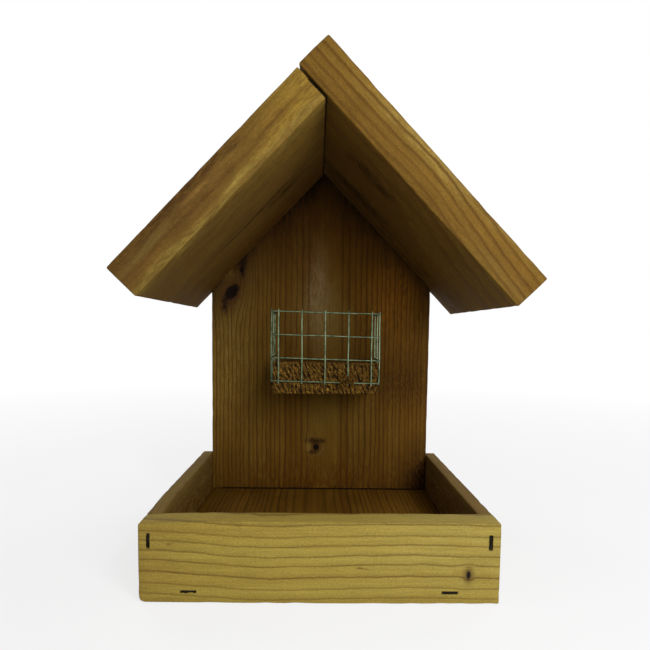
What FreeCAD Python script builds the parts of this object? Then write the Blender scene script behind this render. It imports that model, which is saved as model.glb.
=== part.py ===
import FreeCAD, Part
import os
import re

import Sketcher

# Bird table: a tray, a gabled back board, two roof boards and a wire cage on a shelf block.
# The origin is the middle of the tray's underside. X runs to the right, Y to the back and Z up.

SIZES = [
    ("tray_width", 220, "tray, outside, left to right"),
    ("tray_depth", 194, "front face of the tray to the back of the back board"),
    ("tray_height", 51, "front board and side boards"),
    ("front_thickness", 18, "front board"),
    ("side_thickness", 10, "side boards"),
    ("floor_thickness", 18, "floor board"),
    ("back_thickness", 10, "back board"),
    ("apex_height", 306.8, "tip of the back board's gable above the ground"),
    ("apex_offset", 1.5, "tip of the gable to the right of the middle"),
    ("roof_slope", 46, "degrees, both sides of the roof"),
    ("roof_thickness", 25, "roof boards"),
    ("roof_depth", 175, "roof boards, front to back, flush with the back board"),
    ("eave_left", 168.4, "underside of the left roof board, gable tip to eave"),
    ("eave_right", 172.8, "underside of the right roof board, gable tip to eave"),
    ("ridge_gap", 1.8, "open joint between the left board's top end and the right board"),
    ("ridge_lap", 1, "right roof board, past the left board's upper face"),
    ("arris", 1.2, "rounding of the boards' long edges"),
    ("block_width", 87, "shelf block, left to right"),
    ("block_depth", 55, "shelf block, front to back"),
    ("block_height", 27, "shelf block"),
    ("block_top", 140.5, "top of the shelf block above the ground"),
    ("block_offset", 3.75, "middle of the shelf block to the right of the middle"),
    ("block_arris", 1, "rounding of the shelf block's edges"),
    ("wire_diameter", 1.2, "wire of the net"),
    ("net_pitch", 19.05, "wire to wire"),
    ("net_rows", 3, "squares from the bottom wire to the top wire"),
    ("net_lap", 16.7, "lowest level wire below the shelf block's top"),
    ("net_shift", 0.45, "middle upright wire to the left of the shelf block's middle"),
    ("net_gap", 0.3, "net to the shelf block"),
    ("weld_bite", 0.24, "how far crossing wires are sunk in each other at a weld"),
    ("wire_tail", 1.9, "uprights past the top and the bottom wire"),
    ("wire_seat", 3, "level wires' ends in the back board"),
    ("staple_crown", 9.5, "staples, outside"),
    ("staple_wire", 1.2, "staples, square wire"),
    ("staple_leg", 30, "staples of the front board and the back board"),
    ("side_leg", 22, "staples of the side boards"),
    ("net_leg", 12, "staples of the net"),
    ("staple_sink", 0.8, "staple crowns below the face of the board"),
    ("corner_staple_drop", 12, "front board's side staples below the tray's rim"),
    ("corner_staple_inset", 3.7, "front board's side staples from the side boards' inner faces"),
    ("floor_staple_height", 7.4, "staples into the edges of the floor"),
    ("floor_staple_inset", 30.5, "front board's floor staples from its ends"),
    ("side_staple_inset", 23, "side boards' outer floor staples from the floor's ends"),
    ("back_staple_inset", 25, "back board's outer floor staples from its edges"),
    ("edge_staple_drop", 15, "side boards' back board staples below the tray's rim"),
    ("net_staple_shift", 0.75, "front staple of the net to the left of the upright that it holds"),
    ("net_staple_rise", 2.8, "front staple of the net above the lowest level wire"),
    ("nail_diameter", 2.65, "roof nails"),
    ("nail_head", 4, "roof nails, across the head"),
    ("nail_head_height", 2, "roof nails"),
    ("nail_length", 50, "roof nails"),
    ("nail_sink", 0.6, "nail heads below the face of the board"),
    ("nail_inset", 34, "outer roof nails from the ends of the gable's edge"),
    ("ridge_nail_inset", 25, "ridge nails from the front and the back of the roof"),
    ("screw_diameter", 3.5, "shelf screws"),
    ("screw_head", 7, "shelf screws, across the head"),
    ("screw_head_depth", 2.4, "shelf screws, height of the cone"),
    ("screw_length", 40, "shelf screws"),
    ("screw_inset", 18.5, "shelf screws from the shelf block's ends"),
    ("recess_width", 3.6, "cross in the screw heads, tip to tip"),
    ("recess_slot", 0.9, "cross in the screw heads, width of an arm"),
    ("recess_depth", 1.4, "cross in the screw heads"),
    ("fit_gap", 0.1, "fasteners to the holes they are driven into"),
]

doc = FreeCAD.newDocument("BirdTable")
sheet = doc.addObject("Spreadsheet::Sheet", "Sizes")
for row, (alias, number, meaning) in enumerate(SIZES, start=1):
    sheet.set("A%d" % row, alias)
    sheet.set("B%d" % row, str(number))
    sheet.setAlias("B%d" % row, alias)
    sheet.set("C%d" % row, meaning)
doc.recompute()

# Places that several pieces share, as formulas on the sheet's names.
FRONT_FACE = "(-tray_depth / 2)"
REAR_FACE = "(tray_depth / 2)"
BACK_BOARD_FACE = "(tray_depth / 2 - back_thickness)"
FLOOR_FRONT = "(front_thickness - tray_depth / 2)"
INSIDE = "(tray_width / 2 - side_thickness)"
ROOF_FRONT = "(tray_depth / 2 - roof_depth)"
BACK_BOARD_MIDDLE = "(tray_depth / 2 - back_thickness / 2)"
BLOCK_LEFT = "(block_offset - block_width / 2)"
BLOCK_RIGHT = "(block_offset + block_width / 2)"
BLOCK_FRONT = "(tray_depth / 2 - back_thickness - block_depth)"
BLOCK_BOTTOM = "(block_top - block_height)"
LEVEL_LAYER = "(net_gap + wire_diameter / 2)"
UPRIGHT_LAYER = "(net_gap + wire_diameter / 2 + wire_diameter - weld_bite)"
BEND_RADIUS = "(block_arris + net_gap + wire_diameter / 2)"
NET_BOTTOM = "(block_top - net_lap)"
NET_MIDDLE = "(block_offset - net_shift)"
# The left roof board stops short enough for its nearer corner to clear the right one.
RIDGE_STOP = "((ridge_gap + max(0; roof_thickness * cos(2 * roof_slope))) / sin(2 * roof_slope))"

NAMES = re.compile(r"\b(%s)\b" % "|".join(alias for alias, _, _ in SIZES))
X_AXIS = FreeCAD.Vector(1, 0, 0)
Y_AXIS = FreeCAD.Vector(0, 1, 0)
Z_AXIS = FreeCAD.Vector(0, 0, 1)
QUARTER_TURN = 90


def formula(text):
    """The text with each size's name turned into a reference to its cell."""
    return NAMES.sub(r"Sizes.\1", text)


def number_of(text):
    """What a formula comes to now."""
    result = sheet.evalExpression(formula(text))
    return float(getattr(result, "Value", result))


def bind(thing, **properties):
    """Ties properties to formulas. A double underscore stands for a dot."""
    for name, text in properties.items():
        thing.setExpression(name.replace("__", "."), formula(text))


def put(thing, x="0", y="0", z="0"):
    """Ties the place of an object."""
    bind(thing, Placement__Base__x=x, Placement__Base__y=y, Placement__Base__z=z)
    return thing


def rectangle(x_low, y_low, x_high, y_high):
    return [(x_low, y_low), (x_high, y_low), (x_high, y_high), (x_low, y_high)]


def board(label, plane, corners, thickness, eased, radius):
    """A board: its outline on one of its body's planes, padded, with its eased edges rounded."""
    body = doc.addObject("PartDesign::Body", label)
    sketch = body.newObject("Sketcher::SketchObject", label + "_outline")
    planes = {feature.Role: feature for feature in body.Origin.OriginFeatures}
    sketch.AttachmentSupport = [(planes[plane], "")]
    sketch.MapMode = "FlatFace"
    points = [FreeCAD.Vector(number_of(across), number_of(up), 0) for across, up in corners]
    count = len(points)
    for index in range(count):
        sketch.addGeometry(Part.LineSegment(points[index], points[(index + 1) % count]))
    for index in range(count):
        sketch.addConstraint(Sketcher.Constraint("Coincident", index, 2, (index + 1) % count, 1))
    for index, (across, up) in enumerate(corners):
        point = points[index]
        for kind, text, place in (("DistanceX", across, point.x), ("DistanceY", up, point.y)):
            limit = sketch.addConstraint(Sketcher.Constraint(kind, -1, 1, index, 1, place))
            sketch.setExpression("Constraints[%d]" % limit, formula(text))
    pad = body.newObject("PartDesign::Pad", label + "_pad")
    pad.Profile = sketch
    bind(pad, Length=thickness)
    doc.recompute()
    fillet = body.newObject("PartDesign::Fillet", label + "_eased")
    fillet.Base = (pad, eased_edges(pad.Shape, eased))
    bind(fillet, Radius=radius)
    body.Tip = fillet
    return body


def eased_edges(shape, eased):
    """Names of the edges that run along one direction, or of all edges."""
    names = []
    for index, edge in enumerate(shape.Edges, start=1):
        along = (edge.lastVertex().Point - edge.firstVertex().Point).normalize()
        if eased is None or abs(along.dot(eased)) > 0.999:
            names.append("Edge%d" % index)
    return names


def cuboid(label, low, high):
    """A box between two corners given as formulas."""
    box = doc.addObject("Part::Box", label)
    sides = ["(%s) - (%s)" % pair for pair in zip(high, low)]
    bind(box, Length=sides[0], Width=sides[1], Height=sides[2])
    return put(box, *low)


def rod(label, radius, length, turn=None):
    """A cylinder along Z, or turned about an axis by a number of degrees given as a formula."""
    cylinder = doc.addObject("Part::Cylinder", label)
    bind(cylinder, Radius=radius, Height=length)
    return turned(cylinder, turn)


def turned(thing, turn):
    if turn:
        axis, degrees = turn
        thing.Placement = FreeCAD.Placement(FreeCAD.Vector(), FreeCAD.Rotation(axis, number_of(degrees)))
        bind(thing, Placement__Rotation__Angle=degrees)
    return thing


def fused(label, pieces):
    fusion = doc.addObject("Part::MultiFuse", label)
    fusion.Shapes = pieces
    return fusion


def group(label, pieces):
    compound = doc.addObject("Part::Compound", label)
    compound.Links = pieces
    return compound


def cut(label, blank, tools):
    """A blank less the holes for its fasteners."""
    result = doc.addObject("Part::Cut", label)
    result.Base = blank
    result.Tool = fused(label + "_holes", tools) if len(tools) > 1 else tools[0]
    return result


class Staple:
    """A staple: the middle of its crown on a board's face, the crown's axis and the way its legs point.

    Its crown is sunk in the board, or stands over the net at a height above the face.
    """

    def __init__(self, label, face, crown_axis, leg_axis, inward, leg, height=None):
        self.label = label
        self.face = face
        self.crown_axis = crown_axis
        self.leg_axis = leg_axis
        self.inward = inward
        self.leg = leg
        self.proud = height is not None
        self.sink = "(-%s)" % height if self.proud else "staple_sink"

    def _box(self, suffix, crown_span, leg_span, half_wide):
        low = list(self.face)
        high = list(self.face)
        for axis in range(3):
            if axis == self.crown_axis:
                spans = crown_span
            elif axis == self.leg_axis:
                near, far = leg_span
                spans = leg_span if self.inward > 0 else ("-(%s)" % far, "-(%s)" % near)
            else:
                spans = ("-(%s)" % half_wide, half_wide)
            low[axis] = "%s + %s" % (self.face[axis], spans[0])
            high[axis] = "%s + %s" % (self.face[axis], spans[1])
        return cuboid(self.label + suffix, low, high)

    def _form(self, suffix, mouth, gap, crowned):
        """Two legs and their crown, with a gap all round. The mouth is where they start."""
        half = "(staple_crown / 2 + %s)" % gap
        inner = "(staple_crown / 2 - staple_wire - %s)" % gap
        wide = "(staple_wire / 2 + %s)" % gap
        under = "(%s + staple_wire + %s)" % (self.sink, gap)
        end = "(%s + %s + %s)" % (self.sink, self.leg, gap)
        pieces = [
            self._box(suffix + "_leg_a", ("-" + half, "-" + inner), (mouth, end), wide),
            self._box(suffix + "_leg_b", (inner, half), (mouth, end), wide),
        ]
        if crowned:
            pieces.append(self._box(suffix + "_crown", ("-" + half, half), (mouth, under), wide))
        return fused(self.label + suffix, pieces)

    def solid(self):
        return self._form("", self.sink, "0", True)

    def hole(self):
        return self._form("_seat", "(-staple_wire)", "fit_gap", not self.proud)


class RoofNail:
    """A nail square to a roof board. The slope is -1 left and 1 right of the gable tip."""

    def __init__(self, label, slope, down, depth):
        self.label = label
        self.slope = slope
        self.down = down
        self.depth = depth

    def _rod(self, suffix, radius, low, high):
        """A rod between two heights above the roof's underside."""
        side = "+" if self.slope > 0 else "-"
        x = "apex_offset %s ((%s) * cos(roof_slope) + (%s) * sin(roof_slope))" % (side, self.down, low)
        z = "apex_height - (%s) * sin(roof_slope) + (%s) * cos(roof_slope)" % (self.down, low)
        turn = (Y_AXIS * self.slope, "roof_slope")
        piece = rod(self.label + suffix, radius, "(%s) - (%s)" % (high, low), turn)
        return put(piece, x, self.depth, z)

    def _form(self, suffix, mouth, gap):
        tip = "roof_thickness - nail_sink - nail_length - %s" % gap
        neck = "roof_thickness - nail_sink - nail_head_height - %s" % gap
        shank = self._rod(suffix + "_shank", "nail_diameter / 2 + %s" % gap, tip, mouth)
        head = self._rod(suffix + "_head", "nail_head / 2 + %s" % gap, neck, mouth)
        return fused(self.label + suffix, [shank, head])

    def solid(self):
        return self._form("", "roof_thickness - nail_sink", "0")

    def hole(self):
        return self._form("_seat", "roof_thickness + nail_sink", "fit_gap")


class ShelfScrew:
    """A countersunk screw from the back board's rear face into the shelf block."""

    def __init__(self, label, across):
        self.label = label
        self.across = across
        self.height = "(block_top - block_height / 2)"

    def _form(self, suffix, gap):
        turn = (X_AXIS, "90")
        radius = "screw_diameter / 2 + %s" % gap
        shank = rod(self.label + suffix + "_shank", radius, "screw_length + %s" % gap, turn)
        head = turned(doc.addObject("Part::Cone", self.label + suffix + "_head"), turn)
        bind(head, Radius1="screw_head / 2 + %s" % gap, Radius2=radius, Height="screw_head_depth + %s" % gap)
        for piece in (shank, head):
            put(piece, self.across, REAR_FACE, self.height)
        return fused(self.label + suffix, [shank, head])

    def solid(self):
        level = self._arm("_level_arm", "recess_width", "recess_slot")
        upright_arm = self._arm("_upright_arm", "recess_slot", "recess_width")
        return cut(self.label, self._form("_blank", "0"), [level, upright_arm])

    def _arm(self, suffix, wide, tall):
        """One arm of the cross in the head."""
        low = ("%s - %s / 2" % (self.across, wide), REAR_FACE + " - recess_depth", "%s - %s / 2" % (self.height, tall))
        high = ("%s + %s / 2" % (self.across, wide), REAR_FACE + " + recess_slot", "%s + %s / 2" % (self.height, tall))
        return cuboid(self.label + suffix, low, high)

    def hole(self):
        return self._form("_seat", "fit_gap")


def wire_end_hole(label, x, z):
    """A hole in the back board for the end of a level wire."""
    bore = rod(label, "wire_diameter / 2 + fit_gap", "wire_seat + 2 * fit_gap", (X_AXIS, "90"))
    return put(bore, x, BACK_BOARD_FACE + " + wire_seat + fit_gap", z)


def solids(fasteners):
    return [fastener.solid() for fastener in fasteners]


def holes(*families):
    return [fastener.hole() for family in families for fastener in family]


SIDES = (("left", -1), ("right", 1))


def signed(side, text):
    """A formula on the left or the right of the middle."""
    return "(-%s)" % text if side < 0 else text


# Staples of the tray. Axes are numbered 0 for X, 1 for Y and 2 for Z.
CORNER_REACH = "(%s + corner_staple_inset)" % INSIDE
CORNER_HEIGHT = "(tray_height - corner_staple_drop)"
corner_staples = [
    Staple("corner_staple_" + name, (signed(side, CORNER_REACH), FRONT_FACE, CORNER_HEIGHT), 2, 1, 1, "staple_leg")
    for name, side in SIDES
]
FLOOR_REACH = "(tray_width / 2 - floor_staple_inset)"
front_floor_staples = [
    Staple("front_floor_staple_" + name, (signed(side, FLOOR_REACH), FRONT_FACE, "floor_staple_height"),
           0, 1, 1, "staple_leg")
    for name, side in SIDES
]


def thirds(first, last):
    """Three places on a line: its ends and its middle."""
    return [first, "((%s + %s) / 2)" % (first, last), last]


BACK_REACH = "(%s - back_staple_inset)" % INSIDE
back_floor_staples = [
    Staple("back_floor_staple_%d" % index, (x, REAR_FACE, "floor_staple_height"), 0, 1, -1, "staple_leg")
    for index, x in enumerate(thirds("(-%s)" % BACK_REACH, BACK_REACH))
]


def side_floor_staples(name, side):
    """Three staples through a side board into the edge of the floor."""
    along = thirds("(%s + side_staple_inset)" % FLOOR_FRONT, "(%s - side_staple_inset)" % BACK_BOARD_FACE)
    return [
        Staple("side_floor_staple_%s_%d" % (name, index),
               (signed(side, "(tray_width / 2)"), y, "floor_staple_height"),
               1, 0, -side, "side_leg")
        for index, y in enumerate(along)
    ]


def side_edge_staples(name, side):
    """One staple through a side board into the edge of the back board."""
    face = (signed(side, "(tray_width / 2)"), BACK_BOARD_MIDDLE, "(tray_height - edge_staple_drop)")
    return [Staple("side_edge_staple_" + name, face, 2, 0, -side, "side_leg")]


def gable_nails(name, side):
    """Three nails through a roof board into the sloping edge of the back board."""
    edge = "((%s %s apex_offset) / cos(roof_slope))" % (INSIDE, "+" if side < 0 else "-")
    return [
        RoofNail("roof_nail_%s_%d" % (name, index), side, down, BACK_BOARD_MIDDLE)
        for index, down in enumerate(thirds("nail_inset", "(%s - nail_inset)" % edge))
    ]


# Ridge nails go through the right roof board's lap into the left board's top end.
ridge_nails = [
    RoofNail("ridge_nail_front", 1, "(-roof_thickness / 2)", "(%s + ridge_nail_inset)" % ROOF_FRONT),
    RoofNail("ridge_nail_rear", 1, "(-roof_thickness / 2)", "(%s - ridge_nail_inset)" % REAR_FACE),
]
shelf_screws = [
    ShelfScrew("shelf_screw_left", "(%s + screw_inset)" % BLOCK_LEFT),
    ShelfScrew("shelf_screw_right", "(%s - screw_inset)" % BLOCK_RIGHT),
]


class NetSide:
    """The net on one side of its middle upright: across the front, round a bend and to the back board."""

    def __init__(self, name, side):
        self.name = name
        self.side = side
        self.block_face = BLOCK_LEFT if side < 0 else BLOCK_RIGHT
        self.level_plane = "(%s + %s)" % (self.block_face, signed(side, LEVEL_LAYER))
        self.upright_plane = "(%s + %s)" % (self.block_face, signed(side, UPRIGHT_LAYER))
        self.reach = "((%s - %s) * %d)" % (self.upright_plane, NET_MIDDLE, side)
        pitch = number_of("net_pitch")
        margin = number_of("2 * wire_diameter")
        bend = number_of(self.reach)
        last = number_of(self.reach + " + block_depth")
        runs = range(1, int(last / pitch) + 1)
        self.front = [index for index in runs if index * pitch < bend - margin]
        self.behind = [index for index in runs if bend + margin < index * pitch < last - margin]

    def place(self, index):
        """Front to back, the place of a side upright, counted from the middle upright."""
        return "(%s + net_pitch * %s - %s)" % (UPRIGHT_FRONT, index, self.reach)


UPRIGHT_FRONT = "(%s - %s)" % (BLOCK_FRONT, UPRIGHT_LAYER)
net_sides = [NetSide(name, side) for name, side in SIDES]

# The net's staples stand over its wires, one in front and one on each side of the shelf block.
STAPLE_PLACE = "(%s + net_pitch - net_staple_shift)" % NET_MIDDLE
STAPLE_LEVEL = "(%s + net_staple_rise)" % NET_BOTTOM
net_staples = [
    Staple("net_staple_front", (STAPLE_PLACE, BLOCK_FRONT, STAPLE_LEVEL), 0, 1, 1, "net_leg",
           "(%s + wire_diameter / 2 + net_gap + staple_wire)" % UPRIGHT_LAYER),
]
for net in net_sides:
    between = net.place(net.behind[0] + 0.5)
    net_staples.append(
        Staple("net_staple_" + net.name, (net.block_face, between, NET_BOTTOM), 2, 0, -net.side, "net_leg",
               "(%s + wire_diameter / 2 + net_gap + staple_wire)" % LEVEL_LAYER)
    )

side_floor = {name: side_floor_staples(name, side) for name, side in SIDES}
side_edge = {name: side_edge_staples(name, side) for name, side in SIDES}
gable = {name: gable_nails(name, side) for name, side in SIDES}

# Every finished piece, by its name.
nodes = {}

# Tray boards. Their grain runs along the eased edges.
front_blank = board("tray_front_blank", "XZ_Plane",
                    rectangle("-tray_width / 2", "0", "tray_width / 2", "tray_height"),
                    "front_thickness", X_AXIS, "arris")
put(front_blank, y=FLOOR_FRONT)
nodes["tray_front_board"] = cut("tray_front_board", front_blank, holes(corner_staples, front_floor_staples))

for name, side in SIDES:
    blank = board("tray_side_%s_blank" % name, "YZ_Plane",
                  rectangle(FLOOR_FRONT, "0", REAR_FACE, "tray_height"),
                  "side_thickness", Y_AXIS, "arris")
    put(blank, x="-tray_width / 2" if side < 0 else INSIDE)
    own = [staple for staple in corner_staples if staple.label.endswith(name)]
    label = "tray_side_" + name
    nodes[label] = cut(label, blank, holes(own, side_floor[name], side_edge[name]))

floor_blank = board("tray_floor_blank", "XY_Plane",
                    rectangle("-" + INSIDE, FLOOR_FRONT, INSIDE, BACK_BOARD_FACE),
                    "floor_thickness", Y_AXIS, "arris")
floor_staples = holes(front_floor_staples, back_floor_staples, side_floor["left"], side_floor["right"])
nodes["tray_floor"] = cut("tray_floor", floor_blank, floor_staples)

# Back board with its gable.
shoulder_left = "apex_height - (%s + apex_offset) * tan(roof_slope)" % INSIDE
shoulder_right = "apex_height - (%s - apex_offset) * tan(roof_slope)" % INSIDE
back_outline = [
    ("-" + INSIDE, "0"),
    (INSIDE, "0"),
    (INSIDE, shoulder_right),
    ("apex_offset", "apex_height"),
    ("-" + INSIDE, shoulder_left),
]
back_blank = board("back_board_blank", "XZ_Plane", back_outline, "back_thickness", Z_AXIS, "arris")
put(back_blank, y=REAR_FACE)
levels = ["(%s + net_pitch * %d)" % (NET_BOTTOM, row) for row in range(int(number_of("net_rows")) + 1)]
wire_ends = [
    wire_end_hole("wire_end_hole_%s_%d" % (net.name, row), net.level_plane, level)
    for net in net_sides
    for row, level in enumerate(levels)
]
back_holes = holes(back_floor_staples, side_edge["left"], side_edge["right"])
back_holes += holes(gable["left"], gable["right"], shelf_screws)
nodes["back_board"] = cut("back_board", back_blank, back_holes + wire_ends)

# Roof boards, drawn lying flat and turned about the gable's tip.
roof_left_blank = board("roof_left_blank", "XY_Plane",
                        rectangle("-eave_left", "0", "-" + RIDGE_STOP, "roof_depth"),
                        "roof_thickness", X_AXIS, "arris")
roof_right_blank = board("roof_right_blank", "XY_Plane",
                         rectangle("-(roof_thickness + ridge_lap)", "0", "eave_right", "roof_depth"),
                         "roof_thickness", X_AXIS, "arris")
for blank, side in ((roof_left_blank, -1), (roof_right_blank, 1)):
    turned(blank, (Y_AXIS * side, "roof_slope"))
    put(blank, "apex_offset", ROOF_FRONT, "apex_height")
nodes["roof_board_left"] = cut("roof_board_left", roof_left_blank, holes(gable["left"], ridge_nails))
nodes["roof_board_right"] = cut("roof_board_right", roof_right_blank, holes(gable["right"], ridge_nails))

# Shelf block under the cage.
block_blank = board("shelf_block_blank", "XY_Plane",
                    rectangle(BLOCK_LEFT, BLOCK_FRONT, BLOCK_RIGHT, BACK_BOARD_FACE),
                    "block_height", None, "block_arris")
put(block_blank, z=BLOCK_BOTTOM)
nodes["shelf_block"] = cut("shelf_block", block_blank, holes(shelf_screws, net_staples))


# Wire net. The uprights are the outer layer. The level wires are welded inside them and bend round the block.
def upright(label, x, y):
    wire = rod(label, "wire_diameter / 2", "net_rows * net_pitch + 2 * wire_tail")
    return put(wire, x, y, NET_BOTTOM + " - wire_tail")


LEVEL_FRONT = "(%s - %s)" % (BLOCK_FRONT, LEVEL_LAYER)
BEHIND_BEND = "(%s + %s)" % (LEVEL_FRONT, BEND_RADIUS)
front_wires = [upright("net_upright_middle", NET_MIDDLE, UPRIGHT_FRONT)]
for row, level in enumerate(levels):
    left, right = (net.level_plane for net in net_sides)
    length = "%s - %s - 2 * %s" % (right, left, BEND_RADIUS)
    wire = rod("net_level_front_%d" % row, "wire_diameter / 2", length, (Y_AXIS, "90"))
    front_wires.append(put(wire, "%s + %s" % (left, BEND_RADIUS), LEVEL_FRONT, level))

for net in net_sides:
    for index in net.front:
        place = "%s + %s" % (NET_MIDDLE, signed(net.side, "(net_pitch * %d)" % index))
        front_wires.append(upright("net_upright_%s_%d" % (net.name, index), place, UPRIGHT_FRONT))
    side_wires = [
        upright("net_upright_%s_%d" % (net.name, index), net.upright_plane, net.place(index))
        for index in net.behind
    ]
    for row, level in enumerate(levels):
        bend = doc.addObject("Part::Torus", "net_bend_%s_%d" % (net.name, row))
        bind(bend, Radius1=BEND_RADIUS, Radius2="wire_diameter / 2")
        bend.Angle3 = QUARTER_TURN
        start = 2 * QUARTER_TURN if net.side < 0 else 3 * QUARTER_TURN
        bend.Placement = FreeCAD.Placement(FreeCAD.Vector(), FreeCAD.Rotation(Z_AXIS, start))
        centre = "%s - %s" % (net.level_plane, signed(net.side, BEND_RADIUS))
        front_wires.append(put(bend, centre, BEHIND_BEND, level))
        length = "%s + wire_seat - %s" % (BACK_BOARD_FACE, BEHIND_BEND)
        wire = rod("net_level_%s_%d" % (net.name, row), "wire_diameter / 2", length, (X_AXIS, "90"))
        side_wires.append(put(wire, net.level_plane, BACK_BOARD_FACE + " + wire_seat", level))
    label = "cage_net_" + net.name
    nodes[label] = fused(label, side_wires)
nodes["cage_net_front"] = fused("cage_net_front", front_wires)

# Fasteners, each family in one node.
families = {
    "corner_staples": corner_staples,
    "front_floor_staples": front_floor_staples,
    "back_floor_staples": back_floor_staples,
    "side_staples_left": side_floor["left"] + side_edge["left"],
    "side_staples_right": side_floor["right"] + side_edge["right"],
    "roof_nails_left": gable["left"],
    "roof_nails_right": gable["right"],
    "ridge_nails": ridge_nails,
    "shelf_screws": shelf_screws,
    "net_staples": net_staples,
}
for label, fasteners in families.items():
    nodes[label] = group(label, solids(fasteners))

doc.recompute()

for thing in doc.Objects:
    if "Invalid" in thing.State or "Error" in thing.State:
        raise RuntimeError("%s did not rebuild: %s" % (thing.Label, thing.State))
for label, node in nodes.items():
    if node.Shape.isNull() or not node.Shape.isValid():
        raise RuntimeError("%s has no sound shape" % label)

os.makedirs("parts", exist_ok=True)
whole = FreeCAD.BoundBox()
for label, node in nodes.items():
    node.Shape.exportStep("parts/%s.step" % label)
    whole.add(node.Shape.BoundBox)
    print("%-22s solids %2d  volume %10.1f" % (label, len(node.Shape.Solids), node.Shape.Volume))
print("whole: X %.2f to %.2f, Y %.2f to %.2f, Z %.2f to %.2f"
      % (whole.XMin, whole.XMax, whole.YMin, whole.YMax, whole.ZMin, whole.ZMax))
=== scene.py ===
# %% [markdown]
# # A bird table made of softwood boards
#
# This lesson dresses a small bird table that stands on a shelf: a tray, a back board with a gable,
# two thick roof boards, and a wire cage with a rough block for its floor. The exact shape of every
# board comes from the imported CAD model, which is loaded first as a fixed frame. Each piece made
# here stands in the place of a CAD node, and lengths are written in millimetres and turned into
# metres.

import math
import random

import bmesh
import bpy
from mathutils import Matrix, Vector, noise


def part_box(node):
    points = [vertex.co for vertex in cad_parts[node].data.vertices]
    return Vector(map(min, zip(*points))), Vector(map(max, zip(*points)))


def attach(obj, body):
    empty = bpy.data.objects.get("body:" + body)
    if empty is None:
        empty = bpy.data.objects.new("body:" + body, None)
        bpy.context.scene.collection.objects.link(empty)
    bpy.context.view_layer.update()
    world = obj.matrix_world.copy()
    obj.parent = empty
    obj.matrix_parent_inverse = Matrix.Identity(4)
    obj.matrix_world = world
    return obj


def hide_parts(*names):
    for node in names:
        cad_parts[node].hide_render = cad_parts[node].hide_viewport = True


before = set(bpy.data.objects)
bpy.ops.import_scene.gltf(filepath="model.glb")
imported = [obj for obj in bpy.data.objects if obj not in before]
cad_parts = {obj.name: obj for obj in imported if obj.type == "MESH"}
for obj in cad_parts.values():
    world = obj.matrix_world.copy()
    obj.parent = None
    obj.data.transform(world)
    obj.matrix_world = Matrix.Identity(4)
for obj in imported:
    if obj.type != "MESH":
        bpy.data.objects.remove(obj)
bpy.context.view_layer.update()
MM = 0.001
print("CAD nodes:", sorted(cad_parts))

# %% [markdown]
# ## Camera
#
# The photograph was taken close to the front of the tray, a little left of its middle and about
# half way up. A wide lens is needed, because the roof's rear end looks much smaller than its
# front. The frame was moved up a little with the lens shift, and the camera leans by less than a
# degree. A tracking constraint would hold the camera level, so its directions are set here as
# numbers.

# %% Camera
SENSOR_WIDTH = 36
PHOTO_PIXELS = 650
FOCAL_PIXELS = 550
SHIFT_PIXELS = 50
CAMERA_PLACE = Vector((-3.205, -420.266, 166.091)) * MM
CAMERA_YAW, CAMERA_DROP, CAMERA_LEAN = 0.01475, 0.08007, 0.0124


def camera_axes(yaw, drop, lean):
    """The camera's right, up and backward directions."""
    forward = Vector((
        math.sin(yaw) * math.cos(drop),
        math.cos(yaw) * math.cos(drop),
        -math.sin(drop),
    ))
    level = Vector((math.cos(yaw), -math.sin(yaw), 0))
    upright = level.cross(forward)
    right = level * math.cos(lean) + upright * math.sin(lean)
    up = upright * math.cos(lean) - level * math.sin(lean)
    return right, up, -forward


camera_data = bpy.data.cameras.new("camera")
camera_data.sensor_width = SENSOR_WIDTH
camera_data.lens = SENSOR_WIDTH * FOCAL_PIXELS / PHOTO_PIXELS
camera_data.shift_y = SHIFT_PIXELS / PHOTO_PIXELS
camera_data.clip_start = 0.01
camera = bpy.data.objects.new("camera", camera_data)
bpy.context.scene.collection.objects.link(camera)
axes = Matrix(camera_axes(CAMERA_YAW, CAMERA_DROP, CAMERA_LEAN)).transposed()
camera.matrix_world = Matrix.Translation(CAMERA_PLACE) @ axes.to_4x4()
bpy.context.scene.camera = camera
print("lens:", round(camera_data.lens, 2), "mm, shift:", round(camera_data.shift_y, 4))

# %% [markdown]
# ## Words for wiring materials
#
# Every finish below is a tree of nodes. It could be wired by hand in the shader editor, but a
# script keeps each number where it can be read and changed. A few short helpers keep the wiring
# readable: one makes a node and feeds its inputs, and the others are the sums, mixes and ramps
# that turn up everywhere.

# %% Making and feeding nodes


def paint(red, green, blue):
    """A colour as it is seen on a screen, from 0 to 255, as Blender's linear numbers."""
    linear = [
        c / 12.92 if c <= 0.04045 else ((c + 0.055) / 1.055) ** 2.4
        for c in (red / 255, green / 255, blue / 255)
    ]
    return (*linear, 1)


def fresh_tree(name):
    """A new material with an empty tree."""
    material = bpy.data.materials.new(name)
    material.use_nodes = True
    material.node_tree.nodes.clear()
    return material, material.node_tree


def node(tree, kind, feeds=None, **settings):
    """A new node. What feeds an input is another node's output, a number, a place or a colour."""
    made = tree.nodes.new("ShaderNode" + kind)
    for name, value in settings.items():
        setattr(made, name, value)
    for name, value in (feeds or {}).items():
        if isinstance(value, bpy.types.NodeSocket):
            tree.links.new(value, made.inputs[name])
        else:
            made.inputs[name].default_value = value
    return made


print("a mid wood colour in linear numbers:", [round(c, 3) for c in paint(150, 122, 52)])

# %% [markdown]
# Arithmetic on a surface is done by Math nodes, one for each operation. Written out, each would
# take several lines, so a word stands for it: *times* multiplies, *scaled* multiplies and adds,
# *mixed* blends two colours, and *ramp* bends a number through a few fixed points.

# %% Sums, places, mixes and ramps


def sums(tree, operation, *values, clamp=False):
    feeds = dict(enumerate(values))
    return node(tree, "Math", feeds, operation=operation, use_clamp=clamp).outputs[0]


def times(tree, first, second, clamp=False):
    return sums(tree, "MULTIPLY", first, second, clamp=clamp)


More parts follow.
